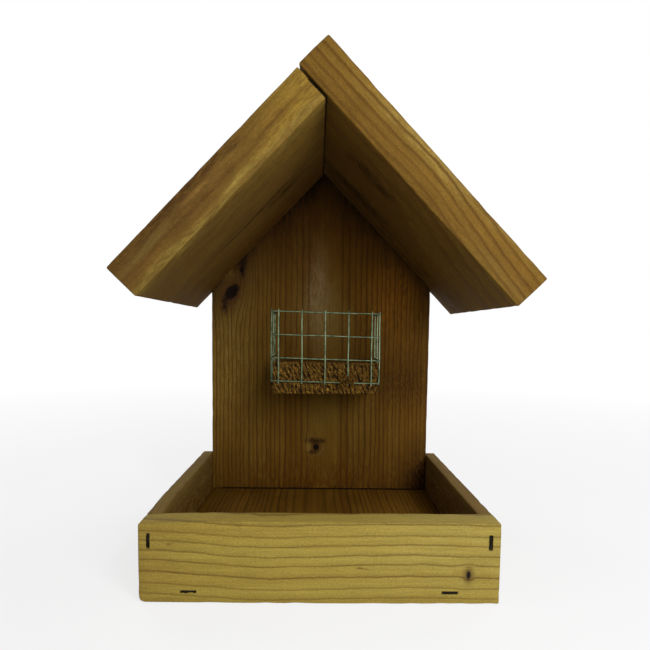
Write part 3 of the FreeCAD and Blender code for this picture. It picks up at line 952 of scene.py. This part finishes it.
# %% Tray front board
ROUND_CORNER = 4.0
PLANED_FROM, PLANED_REACH = -50, 60
FOOT_RISE, HALF_LENGTH = 0.4, 110
front = block_of("tray_front", size_of("tray_front_board"))
edit(front, "EDGE")
bpy.ops.mesh.select_all(action="DESELECT")
corner_mesh = bmesh.from_edit_mesh(front.data)
for edge in corner_mesh.edges:
    edge.select = all(end.co.x < 0 and end.co.z < 0 for end in edge.verts)
bmesh.update_edit_mesh(front.data)
bpy.ops.mesh.bevel(offset=ROUND_CORNER * MM, segments=4, affect="EDGES")
finish_edit()
weathered(front, 0.9, 6, seed=1)
for vertex in front.data.vertices:
    place = vertex.co / MM
    if place.z < -24:
        vertex.co.z += FOOT_RISE * MM * (place.x / HALF_LENGTH) ** 2
    elif place.z > 20 and place.x < PLANED_FROM:
        planed = 2.0 - 0.035 * (place.y - FRONT_FACE)
        vertex.co.z -= planed * MM * ((PLANED_FROM - place.x) / PLANED_REACH) ** 2
cut_mouths(front, front_mouths, seed=2)
put_in_place(front, front_middle)
dress(front, front_finish, "tray_wood", "tray_front_board")

# %% [markdown]
# ### Tray sides
#
# The two sides are thin strips that start behind the front board and hold the floor and the back
# board between them. Their grain runs from front to back. Their tops are weathered to a greyish
# brown, and their inner faces, which rain doesn't wash, stay a deeper brown. The boards mirror
# each other, so one loop makes both, and the front end of the left one is planed down to meet the
# front board's top.

# %% Tray sides
SIDE_TONES = (paint(122, 100, 50), paint(106, 80, 38), paint(78, 54, 23))
SIDE_FACE = 5.0
PLANED_SLOPE, PLANED_END = 0.033, -49
for name, node_name, mirror in (
    ("tray_left", "tray_side_left", -1),
    ("tray_right", "tray_side_right", 1),
):
    middle = middle_of(node_name)
    outer = SIDE_FACE * mirror
    mouths = [((outer, y, -18.1), (1.8, 10.4, 1.7)) for y in (-65, -5, 55)]
    mouths.append(((outer, 83, 10.5), (1.8, 1.7, 10.4)))
    finish = wood_finish(
        name + "_wood",
        middle,
        "yzx",
        SIDE_TONES,
        pith=(-70, 55 * mirror),
        ring=4.6,
        lines=0.7,
        patches=(
            ((0, -6, -6 * mirror), (300, 28, 5), 0.92, paint(86, 54, 10)),
            ((30, 26, 2 * mirror), (90, 8, 3), 0.4, paint(112, 84, 46)),
        ),
        mouths=mouths,
        gloss=0.08,
        seed=11 + mirror,
    )
    side = block_of(name, size_of(node_name))
    weathered(side, 1.2, 6, seed=4 + mirror)
    for vertex in side.data.vertices:
        place = vertex.co / MM
        if mirror < 0 and place.z > 20 and place.y < PLANED_END:
            vertex.co.z -= PLANED_SLOPE * MM * (PLANED_END - place.y)
    cut_mouths(side, mouths, seed=6 + mirror)
    put_in_place(side, middle)
    dress(side, finish, "tray_wood", node_name)

# %% [markdown]
# ### Tray floor
#
# The floor is a thicker board with its grain from front to back too. It is a browner board, with
# the pith close under its middle, so its lines are far apart there and close at both sides. A
# warmer patch lies along its right side.

# %% Tray floor
FLOOR_TONES = (paint(100, 70, 18), paint(84, 53, 12), paint(48, 29, 6))
floor_middle = middle_of("tray_floor")
floor_finish = wood_finish(
    "tray_floor_wood",
    floor_middle,
    "yxz",
    FLOOR_TONES,
    pith=(-4, -26),
    ring=3.5,
    core=0.26,
    fade=0.3,
    lines=0.85,
    patches=(((-20, 72, 9), (70, 30, 30), 0.55, paint(126, 86, 22)),),
    bands=0.7,
    blotch=0.14,
    gloss=0.04,
    unevenness=1.2,
    seed=17,
)
tray_floor = block_of("tray_floor_board", size_of("tray_floor"))
weathered(tray_floor, 1.2, 8, seed=9)
put_in_place(tray_floor, floor_middle)
dress(tray_floor, floor_finish, "floor_wood", "tray_floor")

# %% [markdown]
# ### Back board
#
# One upright board carries everything. Its top is sawn to the roof's two slopes. It is flat-sawn:
# the pith lies just behind its middle, so there is a calm strip up the middle with close lines on
# both sides. A black knot sits under the left roof board with the grain swept round it, and a
# smaller one sits above the tray. A pale streak of painted sheen runs down to the cage.
#
# Two painted shades darken the wood under the slopes, where the roof's shadow falls, and a third
# darkens its foot beside the floor. The broken streaks beside the knots are marks, because a
# patch's edge would wander, and so are two painted shadows: the dark triangle at the right foot,
# which the tray's right side throws, and the block's soft shadow to its right.

# %% Back board finish
APEX = Vector((1.5, 306.8))
SLOPE = math.radians(46)
BACK_TONES = (paint(106, 78, 26), paint(92, 60, 14), paint(64, 38, 10))
back_middle = middle_of("back_board")
back_top = back_middle.z / MM
back_mouths = [((x, 5.0, 7.4 - back_top), (10.4, 1.8, 1.7)) for x in (-75, 0, 75)]
back_mouths += [((x, 5.0, 127 - back_top), (7.6, 0.8, 7.6)) for x in (-21.25, 28.75)]
back_finish = wood_finish(
    "back_board_wood",
    back_middle,
    "zxy",
    BACK_TONES,
    pith=(4.4, 25.8),
    ring=3.6,
    core=0.24,
    fade=0.34,
    lines=0.9,
    uneven=0.35,
    waves=((5.0, (150, 60, 60)), (2.0, (34, 14, 14)), (1.1, (12, 6, 9))),
    swells=(((64, -74, -5), (16, 10, 60), 5.0),),
    knots=(
        ((47.0, -81.5, -5), (7.8, 6.2), 1.1, 0.05, 0.42),
        ((-95.6, -3.3, -5), (3.2, 2.8), 1.5, 0.22, 0.0),
    ),
    patches=(
        ((-132, 0, -5), (30, 140, 30), 0.75, paint(78, 45, 3)),
        ((60, 52, -5), (46, 30, 30), 0.6, paint(114, 74, 18)),
        ((88, 30, -5), (30, 26, 30), 0.5, paint(108, 68, 16)),
        ((78, -50, -5), (34, 34, 30), 0.55, paint(80, 54, 14)),
        ((112, 0, -5), (40, 60, 30), 0.5, paint(100, 58, 18)),
        ((-70, 12, -5), (30, 34, 30), 0.2, paint(120, 92, 34)),
        ((12, 82, -5), (34, 24, 30), 0.5, paint(122, 88, 34)),
        ((110, -34, -5), (26, 22, 30), 0.5, paint(66, 36, 8)),
        ((0, -84, -5), (80, 26, 30), 0.6, paint(116, 94, 42)),
        ((-40, 76, -5), (50, 22, 30), 0.5, paint(114, 76, 22)),
        ((-64, 2, -5), (26, 16, 30), 0.45, paint(92, 72, 28)),
        # Painted sheen: the pale streak that runs down to the cage.
        ((42, -3, -5), (36, 9.5, 30), 0.8, paint(134, 110, 74)),
        ((-92, -10, -5), (6, 3, 30), 0.5, paint(124, 98, 44)),
        ((22, 0, -5), (22, 26, 30), 0.5, paint(114, 94, 52)),
        ((44, 64, -5), (34, 16, 30), 0.6, paint(122, 80, 24)),
        ((52, 70, -5), (36, 22, 30), 0.85, paint(154, 100, 30)),
    ),
    # Painted shade: the roof's shadow under both slopes, and shade at the foot beside the floor.
    painted_shades=(
        ((math.cos(SLOPE), math.sin(SLOPE), 0), 108.5, 19.0, 0.9),
        ((math.cos(SLOPE), -math.sin(SLOPE), 0), 106.5, 16.0, 0.9),
        ((-1, 0, 0), 138.0, 4.0, 0.35),
    ),
    marks=(
        ((35.5, -88, -5), (6.5, 3.0), 0.9, paint(34, 20, 10)),
        ((69, -71.6, -5), (8.5, 2.8), 0.9, paint(34, 20, 9)),
        ((79, -71, -5), (8.0, 3.6), 0.9, paint(32, 18, 9)),
        ((67.2, -72.2, -5), (1.8, 1.4), 1.4, paint(18, 9, 5)),
        ((67, -84.0, -5), (7.5, 4.0), 0.34, paint(118, 88, 30)),
        # Painted shadow: the dark triangle that the tray's right side throws into the corner.
        ((-137, 101, -5), (36, 21), 0.75, paint(46, 26, 10)),
        # Painted shadow of the block and cage, on the wall to their right.
        ((-36, 78, -5), (26, 44), 0.4, paint(62, 38, 10)),
        ((-89.9, -8.0, -5), (2.6, 5.4), 0.8, paint(44, 26, 8)),
        ((-90.0, 0.4, -5), (2.2, 4.6), 0.7, paint(44, 26, 8)),
        ((-95.2, -10.2, -5), (4.6, 2.2), 0.55, paint(120, 92, 40)),
        ((-100.4, -6.2, -5), (1.8, 3.4), 0.8, paint(44, 26, 8)),
    ),
    mouths=back_mouths + [((0, -5, -135.2), (200, 3, 1.2))],
    bands=0.8,
    blotch=0.16,
    gloss=0.04,
    unevenness=1.0,
    seed=23,
)

# %% [markdown]
# The board is made as a plain rectangle and worn before its gable is sawn, so both slopes are
# flat fresh cuts for the roof boards to lie on. Cutting the gable first would have worn them too.

# %% Back board
back = block_of("back_board_piece", size_of("back_board"))
weathered(back, 1.0, 8, seed=12)
for sign in (-1, 1):
    apex = Vector((APEX.x * MM, 0, APEX.y * MM)) - Vector((back_middle.x, 0, back_middle.z))
    trim(back, apex, (sign * math.sin(SLOPE), 0, math.cos(SLOPE)))
cut_mouths(back, back_mouths, seed=13)
put_in_place(back, back_middle)
dress(back, back_finish, "back_board_wood", "back_board")

# %% [markdown]
# ### Roof boards
#
# Two thick boards meet at the ridge. The right one laps over the sawn end of the left one, with a
# dark gap between them. Their grain runs down the slope. Each is made flat, as a board on the
# bench is, and turned by the slope's angle at the end, so its loops and its finish follow the
# board and not the world. One function makes either board from its reach, nails and look.

# %% Making a roof board
ROOF_THICKNESS = 25
ROOF_FRONT, ROOF_REAR = -78, 97
NAIL_MOUTH = (4.5, 4.5, 1.4)


def roof_place(side, low, high):
    """The middle of a roof board that runs from low to high mm down its slope, and its tilt."""
    down = Vector((side * math.cos(SLOPE), 0, -math.sin(SLOPE)))
    outward = Vector((side * math.sin(SLOPE), 0, math.cos(SLOPE)))
    start = Vector((APEX.x, (ROOF_FRONT + ROOF_REAR) / 2, APEX.y))
    middle = start + down * (low + high) / 2 + outward * ROOF_THICKNESS / 2
    return middle * MM, side * SLOPE


def nail_mouths(side, low, high, nails):
    """Round mouths on the upper face. A nail is a place down the slope and rearwards, in mm."""
    middle = Vector(((low + high) / 2, (ROOF_FRONT + ROOF_REAR) / 2))
    return [
        ((side * (down - middle.x), rear - middle.y, ROOF_THICKNESS / 2), NAIL_MOUTH)
        for down, rear in nails
    ]


def roof_board(name, node_name, side, reach, nails, joint, wear_seed, left_sharp=None, **look):
    """Makes and dresses a roof board. side is -1 on the left and 1 on the right.

    joint is the dark mouth where it meets its neighbours, which is painted but not cut.
    """
    low, high = reach
    middle, tilt = roof_place(side, low, high)
    mouths = nail_mouths(side, low, high, nails)
    look["mouths"] = mouths + [joint]
    finish = wood_finish(name + "_wood", middle, "xzy", tilt=tilt, gloss=0.05, **look)
    roof = block_of(name, (high - low, ROOF_REAR - ROOF_FRONT, ROOF_THICKNESS))
    weathered(roof, 1.0, 7, wear_seed, left_sharp)
    cut_mouths(roof, mouths, wear_seed)
    put_in_place(roof, middle, tilt)
    dress(roof, finish, "roof_wood", node_name)


print("the roof is", ROOF_REAR - ROOF_FRONT, "mm deep")

# %% [markdown]
# The left board's front edge is brown above and yellow along its lower arris. Its underside is
# darkest near the ridge. Its lower ridge arris stays sharp and meets the right board closely,
# because a bevel there would let daylight through above the gable's tip.

# %% Left roof board
UNDERSIDE = -ROOF_THICKNESS / 2
LEFT_RIDGE_END = 83.8
roof_board(
    "roof_left",
    "roof_board_left",
    side=-1,
    reach=(0.8, 168.4),
    nails=[(34, 92), (73, 92), (112, 92)],
    joint=((LEFT_RIDGE_END, 0, UNDERSIDE), (2.4, 420, 34)),
    wear_seed=21,
    left_sharp=(LEFT_RIDGE_END, 0, UNDERSIDE),
    tones=(paint(112, 84, 35), paint(96, 70, 30), paint(78, 54, 22)),
    pith=(-190, 10),
    ring=8.4,
    core=0.3,
    fade=0.4,
    lines=0.45,
    uneven=0.8,
    waves=((7.0, (90, 40, 60)), (4.0, (24, 9, 12)), (2.0, (8, 5, 6))),
    patches=(
        ((70, 2, -84), (46, 16, 30), 0.85, paint(150, 120, 47)),
        ((-14, 8, -86), (66, 10.5, 30), 1.0, paint(76, 52, 23)),
        ((48, 0, -86), (26, 3.2, 16), 0.75, paint(102, 72, 28)),
        ((-56, 3, -86), (22, 3.0, 12), 0.55, paint(116, 98, 50)),
        ((-76, 0, -86), (14, 6, 16), 0.5, paint(96, 70, 36)),
        ((0, -10.6, -86), (150, 2.8, 14), 0.8, paint(138, 116, 54)),
        ((-10, 3.4, -86), (14, 2.2, 8), 0.7, paint(128, 98, 46)),
        ((14, 5.0, -86), (10, 2.6, 8), 0.6, paint(126, 98, 42)),
        ((36, -11.6, -86), (34, 1.4, 8), 0.7, paint(108, 80, 34)),
        ((20, -12.5, 62), (110, 9, 34), 0.75, paint(84, 49, 8)),
        ((43, -12.5, 9), (20, 9, 7), 1.0, paint(42, 26, 8)),
        ((18, -12.5, -3.5), (44, 9, 3.8), 1.0, paint(46, 28, 8)),
    ),
    bands=0.7,
    blotch=0.22,
    seed=31,
)

# %% [markdown]
# The right board's front edge shows four or five brown lines that bulge round a hidden branch.
# Its underside is in the deepest shade, with two darker spots in its upper half. It carries two
# more nails, which go through the lap into the left board's end.

# %% Right roof board
roof_board(
    "roof_right",
    "roof_board_right",
    side=1,
    reach=(-26.0, 172.8),
    nails=[(34, 92), (70.9, 92), (107.8, 92), (-12.5, -53), (-12.5, 72)],
    joint=((-2.5, 76.9, UNDERSIDE), (141, 1.3, 8)),
    wear_seed=22,
    tones=(paint(118, 90, 35), paint(108, 78, 29), paint(86, 58, 20)),
    pith=(-297, 0),
    ring=5.4,
    core=0.32,
    fade=0.24,
    lines=0.85,
    uneven=0.35,
    waves=((1.2, (70, 40, 60)), (1.4, (20, 10, 14)), (1.0, (7, 5, 7))),
    swells=(
        ((4, 0, -88), (26, 40, 60), 2.4),
        ((110, 0, -88), (65, 40, 80), -7.5),
    ),
    patches=(
        ((-18, 9.0, -88), (34, 4.5, 20), 0.95, paint(146, 122, 60)),
        ((20, 11, -88), (60, 3.0, 20), 0.5, paint(134, 110, 56)),
        ((90, -9, -88), (40, 6, 20), 0.5, paint(124, 100, 50)),
        ((-20, -12.5, -30), (130, 9, 80), 0.6, paint(70, 43, 9)),
        ((0, -12.5, 56), (130, 9, 46), 0.8, paint(60, 37, 7)),
        ((-32, -12.5, 36), (25, 9, 11), 0.85, paint(18, 10, 3)),
        ((-48, -12.5, 46), (36, 9, 15), 0.7, paint(50, 31, 9)),
        ((-16, -12.5, -34), (12, 9, 8), 0.8, paint(26, 16, 5)),
        ((-34, -12.5, -30), (24, 9, 13), 0.75, paint(52, 32, 9)),
    ),
    bands=0.6,
    blotch=0.16,
    unevenness=0.4,
    seed=37,
)

# %% [markdown]
# ### Rough block
#
# The cage's floor is a block left as the saw cut it. The saw's teeth tore slanting ridges across
# its front, one beside the other like shingles, and broken fibres stand up along its top arris.
# Paint can't give that outline, so the block gets a fine net of points and each is moved. How far
# a point was torn in is kept as an attribute, which the finish reads: crests are pale and fresh,
# and the grooves are nearly black with painted shade.

# %% Torn wood finish
CREST = paint(162, 120, 44)
SAWN = paint(72, 49, 15)
# Painted shade in the deepest grooves.
GROOVE_SHADE = paint(22, 14, 4)
TEAR_LEAN = 0.42


def torn_finish(name, crest, sawn, groove_shade, seed):
    """Broken fibres: coloured by how deep they lie, with painted shade in the grooves, and short
    light splinters that lean.
    """
    material, tree = fresh_tree(name)
    local = board_coordinates(tree)
    depth = node(tree, "Attribute", attribute_name="torn").outputs["Fac"]
    _, inwards, upwards = parted(tree, local)
    lean = arrow(tree, "DOT_PRODUCT", local, (1.0, 0.0, TEAR_LEAN))
    leaning = joined(tree, lean, inwards, upwards)
    grit = cloud(tree, leaning, (0.9, 1.1, 2.0), seed, detail=3.0)
    lump = cloud(tree, local, (7, 7, 5), seed + 1)
    share = scaled(tree, sums(tree, "SUBTRACT", grit, 0.5), 1.1, depth)
    share = scaled(tree, sums(tree, "SUBTRACT", lump, 0.5), 0.4, share)
    share = ramp(tree, share, (0.0, 0), (0.34, 0), (0.55, 0.6), (0.75, 1.0))
    # The deeper a point lies, the more painted shade.
    colour = mixed(tree, share, sawn, groove_shade)
    splinter = cloud(tree, leaning, (0.6, 0.6, 1.7), seed + 2)
    splinter = ramp(tree, splinter, (0.0, 0), (0.52, 0), (0.64, 1))
    splinter = times(tree, splinter, sums(tree, "SUBTRACT", 1.0, share, clamp=True))
    colour = mixed(tree, times(tree, splinter, 0.8), colour, crest)
    rough = scaled(tree, grit, 0.2, 0.7)
    surface(tree, colour, rough, grit, 0.8, 0.4, {"Specular IOR Level": 0.08})
    return material


rough_finish = torn_finish("rough_block_wood", CREST, SAWN, GROOVE_SHADE, seed=41)
print("crests are", [round(c, 3) for c in CREST[:3]], "in linear numbers")

# %% [markdown]
# A saw mark is a leaning ridge that rises slowly and drops fast, like the tooth of a ratchet. That
# shape is the fraction of a number that grows across the face, which a sine wave couldn't give.
# Noise makes the ridges waver, tears them and leaves gaps.

# %% Saw marks
TEAR_PITCH = 3.7
SLOW_SIDE = 0.72


def saw_marks(side, height, seed):
    """How deep the saw tore at a point, from 0 to 1. side and height are in mm on that face."""
    leaned = side + TEAR_LEAN * height
    waver = 0.8 * noise.noise(Vector((side / 9, height / 8, seed)))
    turn = (leaned / TEAR_PITCH + waver) % 1.0
    shingle = turn / SLOW_SIDE if turn < SLOW_SIDE else (1 - turn) / (1 - SLOW_SIDE)
    torn = noise.noise(Vector((leaned / 1.1, height / 4.5, seed + 4)))
    gap = noise.noise(Vector((side / 5, height / 3.0, seed + 9)))
    return min(1.0, max(0.0, 0.62 * shingle + 0.40 * torn + 0.30 * gap + 0.06))


print("depth across two ridges:", [round(saw_marks(step, 0, 2.0), 2) for step in range(8)])

# %% [markdown]
# The block's front is torn deepest, its top and ends less, and its underside least. A point near
# two faces is moved by both, which breaks up the arris between them. The rear face lies against
# the back board and stays flat.

# %% Block
FRONT_TEAR, TOP_TEAR, UNDER_TEAR, END_TEAR = 1.9, 0.9, 0.7, 0.8
SKIN = 1.0
block = block_of("rough_block", size_of("shelf_block"))
bevel_arrises(block, 0.8, segments=2)
even_loops(block, (0.65, 1.1, 0.65))
half = [s / 2 for s in size_of("shelf_block")]
torn = block.data.attributes.new("torn", "FLOAT", "POINT")
for vertex in block.data.vertices:
    x, y, z = vertex.co / MM
    depth = 0.35
    if y < -half[1] + SKIN:
        depth = saw_marks(x, z, 2.0)
        vertex.co.y += FRONT_TEAR * MM * depth
        if z > half[2] - 1.5 * SKIN:
            depth = 0.4 * depth
    elif y > half[1] - SKIN:
        depth = 0.3
    if z > half[2] - SKIN:
        nibble = saw_marks(x, 1.6 * y, 5.0)
        vertex.co.z -= TOP_TEAR * MM * nibble
        depth = min(depth, 0.7 * nibble + 0.1)
    if z < -half[2] + SKIN:
        vertex.co.z += UNDER_TEAR * MM * saw_marks(x, 1.3 * y, 6.0)
    if abs(x) > half[0] - SKIN:
        nibble = saw_marks(y, z, 8.0)
        vertex.co.x -= math.copysign(END_TEAR * MM * nibble, x)
        depth = 0.8 * nibble
    torn.data[vertex.index].value = depth
put_in_place(block, middle_of("shelf_block"))
print("the block has", len(block.data.vertices), "points")

# %% [markdown]
# On the right of its front a tuft of fibres was pulled loose. It hangs over the lowest level wire
# and hides the foot of the fourth upright, so it's made of slim cones that start inside the block
# and reach out past the wires. Hair would make finer fibres, but the export needs a mesh.

# %% Torn tuft
TUFT_ROOT, TUFT_TIP = 33.0, 26.9
TUFT_LEFT, SLIVER_PITCH, SLIVERS = 15.2, 0.3, 38
dice = random.Random(77)
slivers = []
for step in range(SLIVERS):
    side = TUFT_LEFT + SLIVER_PITCH * step
    root = Vector((side, TUFT_ROOT, dice.uniform(124.4, 131.0)))
    tip = Vector((side + dice.uniform(-0.6, 1.6), TUFT_TIP, root.z - dice.uniform(2.0, 4.0)))
    nothing_selected()
    bpy.ops.mesh.primitive_cone_add(
        vertices=5,
        radius1=dice.uniform(0.9, 1.4) * MM,
        radius2=dice.uniform(0.4, 0.9) * MM,
        depth=(tip - root).length * MM,
        location=(root + tip) / 2 * MM,
        rotation=(tip - root).to_track_quat("Z", "Y").to_euler(),
    )
    slivers.append(bpy.context.object)
only(block)
for sliver in slivers:
    sliver.select_set(True)
bpy.ops.object.join()
print("slivers in the tuft:", len(slivers))
dress(block, rough_finish, "rough_sawn_wood", "shelf_block", smooth=60)

# %% [markdown]
# ### Wire cage
#
# The cage is one strip of welded net, bent at two corners, with its level wires pushed into the
# back board. A curve with a bevel would give the wires too, but extrude and spin show how a wire
# is drawn and bent, and leave closed ends. Every wire starts as a ring of points, is drawn out
# with extrude and turned with spin.
#
# Its zinc is dull, with cloudy darker places. The wires at the right end have a painted glint,
# pale green, where the real ones catch the light.

# %% Metal finish


def metal_finish(name, colour, dull, rough, seed, glint=None):
    """Dull metal with cloudy places. A glint is a painted highlight: a place, a reach and a
    colour.
    """
    material, tree = fresh_tree(name)
    local = board_coordinates(tree)
    cloudy = cloud(tree, local, (5, 5, 5), seed, detail=4.0)
    fine = cloud(tree, local, (0.5, 0.5, 0.5), seed + 1)
    tone = mixed(tree, ramp(tree, cloudy, (0.0, 0), (0.4, 0), (0.7, 1)), colour, dull)
    if glint:
        centre, reach, shine = glint
        share = times(tree, near(tree, local, centre, reach), 3.0, clamp=True)
        share = times(tree, share, ramp(tree, fine, (0.0, 0), (0.46, 0), (0.60, 1)))
        tone = mixed(tree, share, tone, shine)
    surface(tree, tone, scaled(tree, fine, 0.25, rough), fine, 0.3, 0.1, {"Metallic": 1.0})
    return material


# A painted glint on the right end's rear wires.
RIGHT_GLINT = ((50, 68, 158), (6, 28, 26), paint(166, 184, 146))
zinc = metal_finish("zinc_coat", paint(118, 132, 102), paint(58, 72, 50), 0.34, 51, RIGHT_GLINT)
print("zinc on the wires")

# %% Drawing wires
WIRE = 1.2
WIRE_SIDES = 10
RING_TURNS = {"y": (math.pi / 2, 0, 0), "z": (0, 0, 0)}


def ring_of_wire(place, facing):
    """The first ring of points of a wire, with its normal along y or z."""
    nothing_selected()
    bpy.ops.mesh.primitive_circle_add(
        vertices=WIRE_SIDES,
        radius=WIRE / 2 * MM,
        fill_type="NGON",
        location=Vector(place) * MM,
        rotation=RING_TURNS[facing],
    )
    wire = bpy.context.object
    bpy.ops.object.transform_apply(location=True, rotation=True, scale=True)
    edit_all(wire)
    return wire


def draw(x=0.0, y=0.0, z=0.0, steps=1):
    """Draws the wire out by that many millimetres."""
    pull = Vector((x, y, z)) * MM / steps
    for _ in range(steps):
        bpy.ops.mesh.extrude_region_move(TRANSFORM_OT_translate={"value": pull})


def bend(centre):
    """Turns the wire's end a quarter to the left, seen from above, round a line through centre."""
    centre = Vector(centre) * MM
    bpy.ops.mesh.spin(steps=5, angle=-math.pi / 2, center=centre, axis=(0, 0, 1))


print("wires are", WIRE, "mm thick")

# %% [markdown]
# Four level wires start in the back board on the left, run forwards, turn along the front and run
# back on the right. Their ends reach into the back board, so no end shows. Each run has
# enough rings for the net's slow bow later on.

# %% Level wires
NET_LEFT, NET_RIGHT = -40.65, 48.15
NET_FRONT, NET_REAR = 31.1, 90.0
BEND = 2.5
LEVELS = (123.8, 142.85, 161.9, 180.95)
parts = []
for level in LEVELS:
    wire = ring_of_wire((NET_LEFT, NET_REAR, level), "y")
    draw(y=NET_FRONT + BEND - NET_REAR, steps=8)
    bend((NET_LEFT + BEND, NET_FRONT + BEND, level))
    draw(x=NET_RIGHT - NET_LEFT - 2 * BEND, steps=14)
    bend((NET_RIGHT - BEND, NET_FRONT + BEND, level))
    draw(y=NET_REAR - NET_FRONT - BEND, steps=8)
    finish_edit()
    parts.append(wire)
print(len(parts), "level wires")

# %% [markdown]
# The uprights lie outside the level wires and touch them, so each crossing has a weld. It is a
# small sphere whose middle is moved inwards, half into either wire.

# %% Uprights and welds
UPRIGHTS = (-34.8, -15.75, 3.3, 22.35, 41.4)
UPRIGHT_LOW, UPRIGHT_HIGH = 121.9, 182.85
UPRIGHT_FRONT = 30.14
SIDE_LEFT, SIDE_RIGHT = -41.61, 49.11
SIDE_STEPS = {SIDE_LEFT: (42.4, 61.4, 80.5), SIDE_RIGHT: (41.5, 60.5, 79.6)}
WELD_RADIUS, WELD_INWARDS = 0.78, 0.48
upright_places = [(x, UPRIGHT_FRONT, 0, WELD_INWARDS) for x in UPRIGHTS]
upright_places += [(SIDE_LEFT, y, WELD_INWARDS, 0) for y in SIDE_STEPS[SIDE_LEFT]]
upright_places += [(SIDE_RIGHT, y, -WELD_INWARDS, 0) for y in SIDE_STEPS[SIDE_RIGHT]]
for x, y, weld_x, weld_y in upright_places:
    wire = ring_of_wire((x, y, UPRIGHT_LOW), "z")
    draw(z=UPRIGHT_HIGH - UPRIGHT_LOW, steps=12)
    finish_edit()
    parts.append(wire)
    for level in LEVELS:
        nothing_selected()
        bpy.ops.mesh.primitive_ico_sphere_add(
            subdivisions=2,
            radius=WELD_RADIUS * MM,
            location=Vector((x + weld_x, y + weld_y, level)) * MM,
        )
        parts.append(bpy.context.object)
print(len(upright_places), "uprights with", len(LEVELS), "welds each")

# %% [markdown]
# The strip was cut by hand and sits a little askew: its level wires fall to the right, and none
# is quite straight. That is easiest when all wires are one mesh, so they are joined first, and
# then slow noise and a small slope move every point.

# %% Joining the net
ASKEW = -0.018
NET_MIDDLE = 3.3
nothing_selected()
for part in parts:
    part.select_set(True)
bpy.context.view_layer.objects.active = parts[0]
bpy.ops.object.join()
net = bpy.context.object
bpy.ops.object.transform_apply(location=True, rotation=True, scale=True)
net.name = "wire_cage"
net.data.name = "wire_cage"
edit_all(net)
bpy.ops.mesh.remove_doubles(threshold=WELD_REACH)
bpy.ops.mesh.normals_make_consistent(inside=False)
finish_edit()
for vertex in net.data.vertices:
    place = vertex.co.copy()
    vertex.co.z += ASKEW * (place.x - NET_MIDDLE * MM)
    vertex.co.x += 0.35 * MM * noise.noise(place / (26 * MM))
    vertex.co.z += 0.25 * MM * noise.noise(place / (22 * MM) + Vector((7, 0, 0)))
dress(net, zinc, "galvanised_wire", "cage_net_front", "cage_net_left", "cage_net_right", smooth=50)

# %% [markdown]
# ### Fasteners
#
# The staples, nails and screws have the right shape in the CAD model already, so they stay and
# only get a finish. The staples' steel has gone dark in the wet wood, the nails are dull, and the
# screws behind keep a yellowish coat.

# %% Fasteners
FASTENER_FINISHES = (
    ("staple_metal", paint(46, 40, 34), paint(26, 20, 16), 0.5, 61, "staple"),
    ("nail_metal", paint(128, 124, 116), paint(86, 78, 68), 0.40, 63, "nail"),
    ("screw_metal", paint(176, 164, 128), paint(140, 124, 86), 0.32, 65, "screw"),
)
for name, colour, dull, rough, seed, word in FASTENER_FINISHES:
    finish = metal_finish(name, colour, dull, rough, seed)
    for node_name, cad_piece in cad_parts.items():
        if word in node_name:
            cad_piece.data.materials.clear()
            cad_piece.data.materials.append(finish)
            print(node_name, "gets", name)
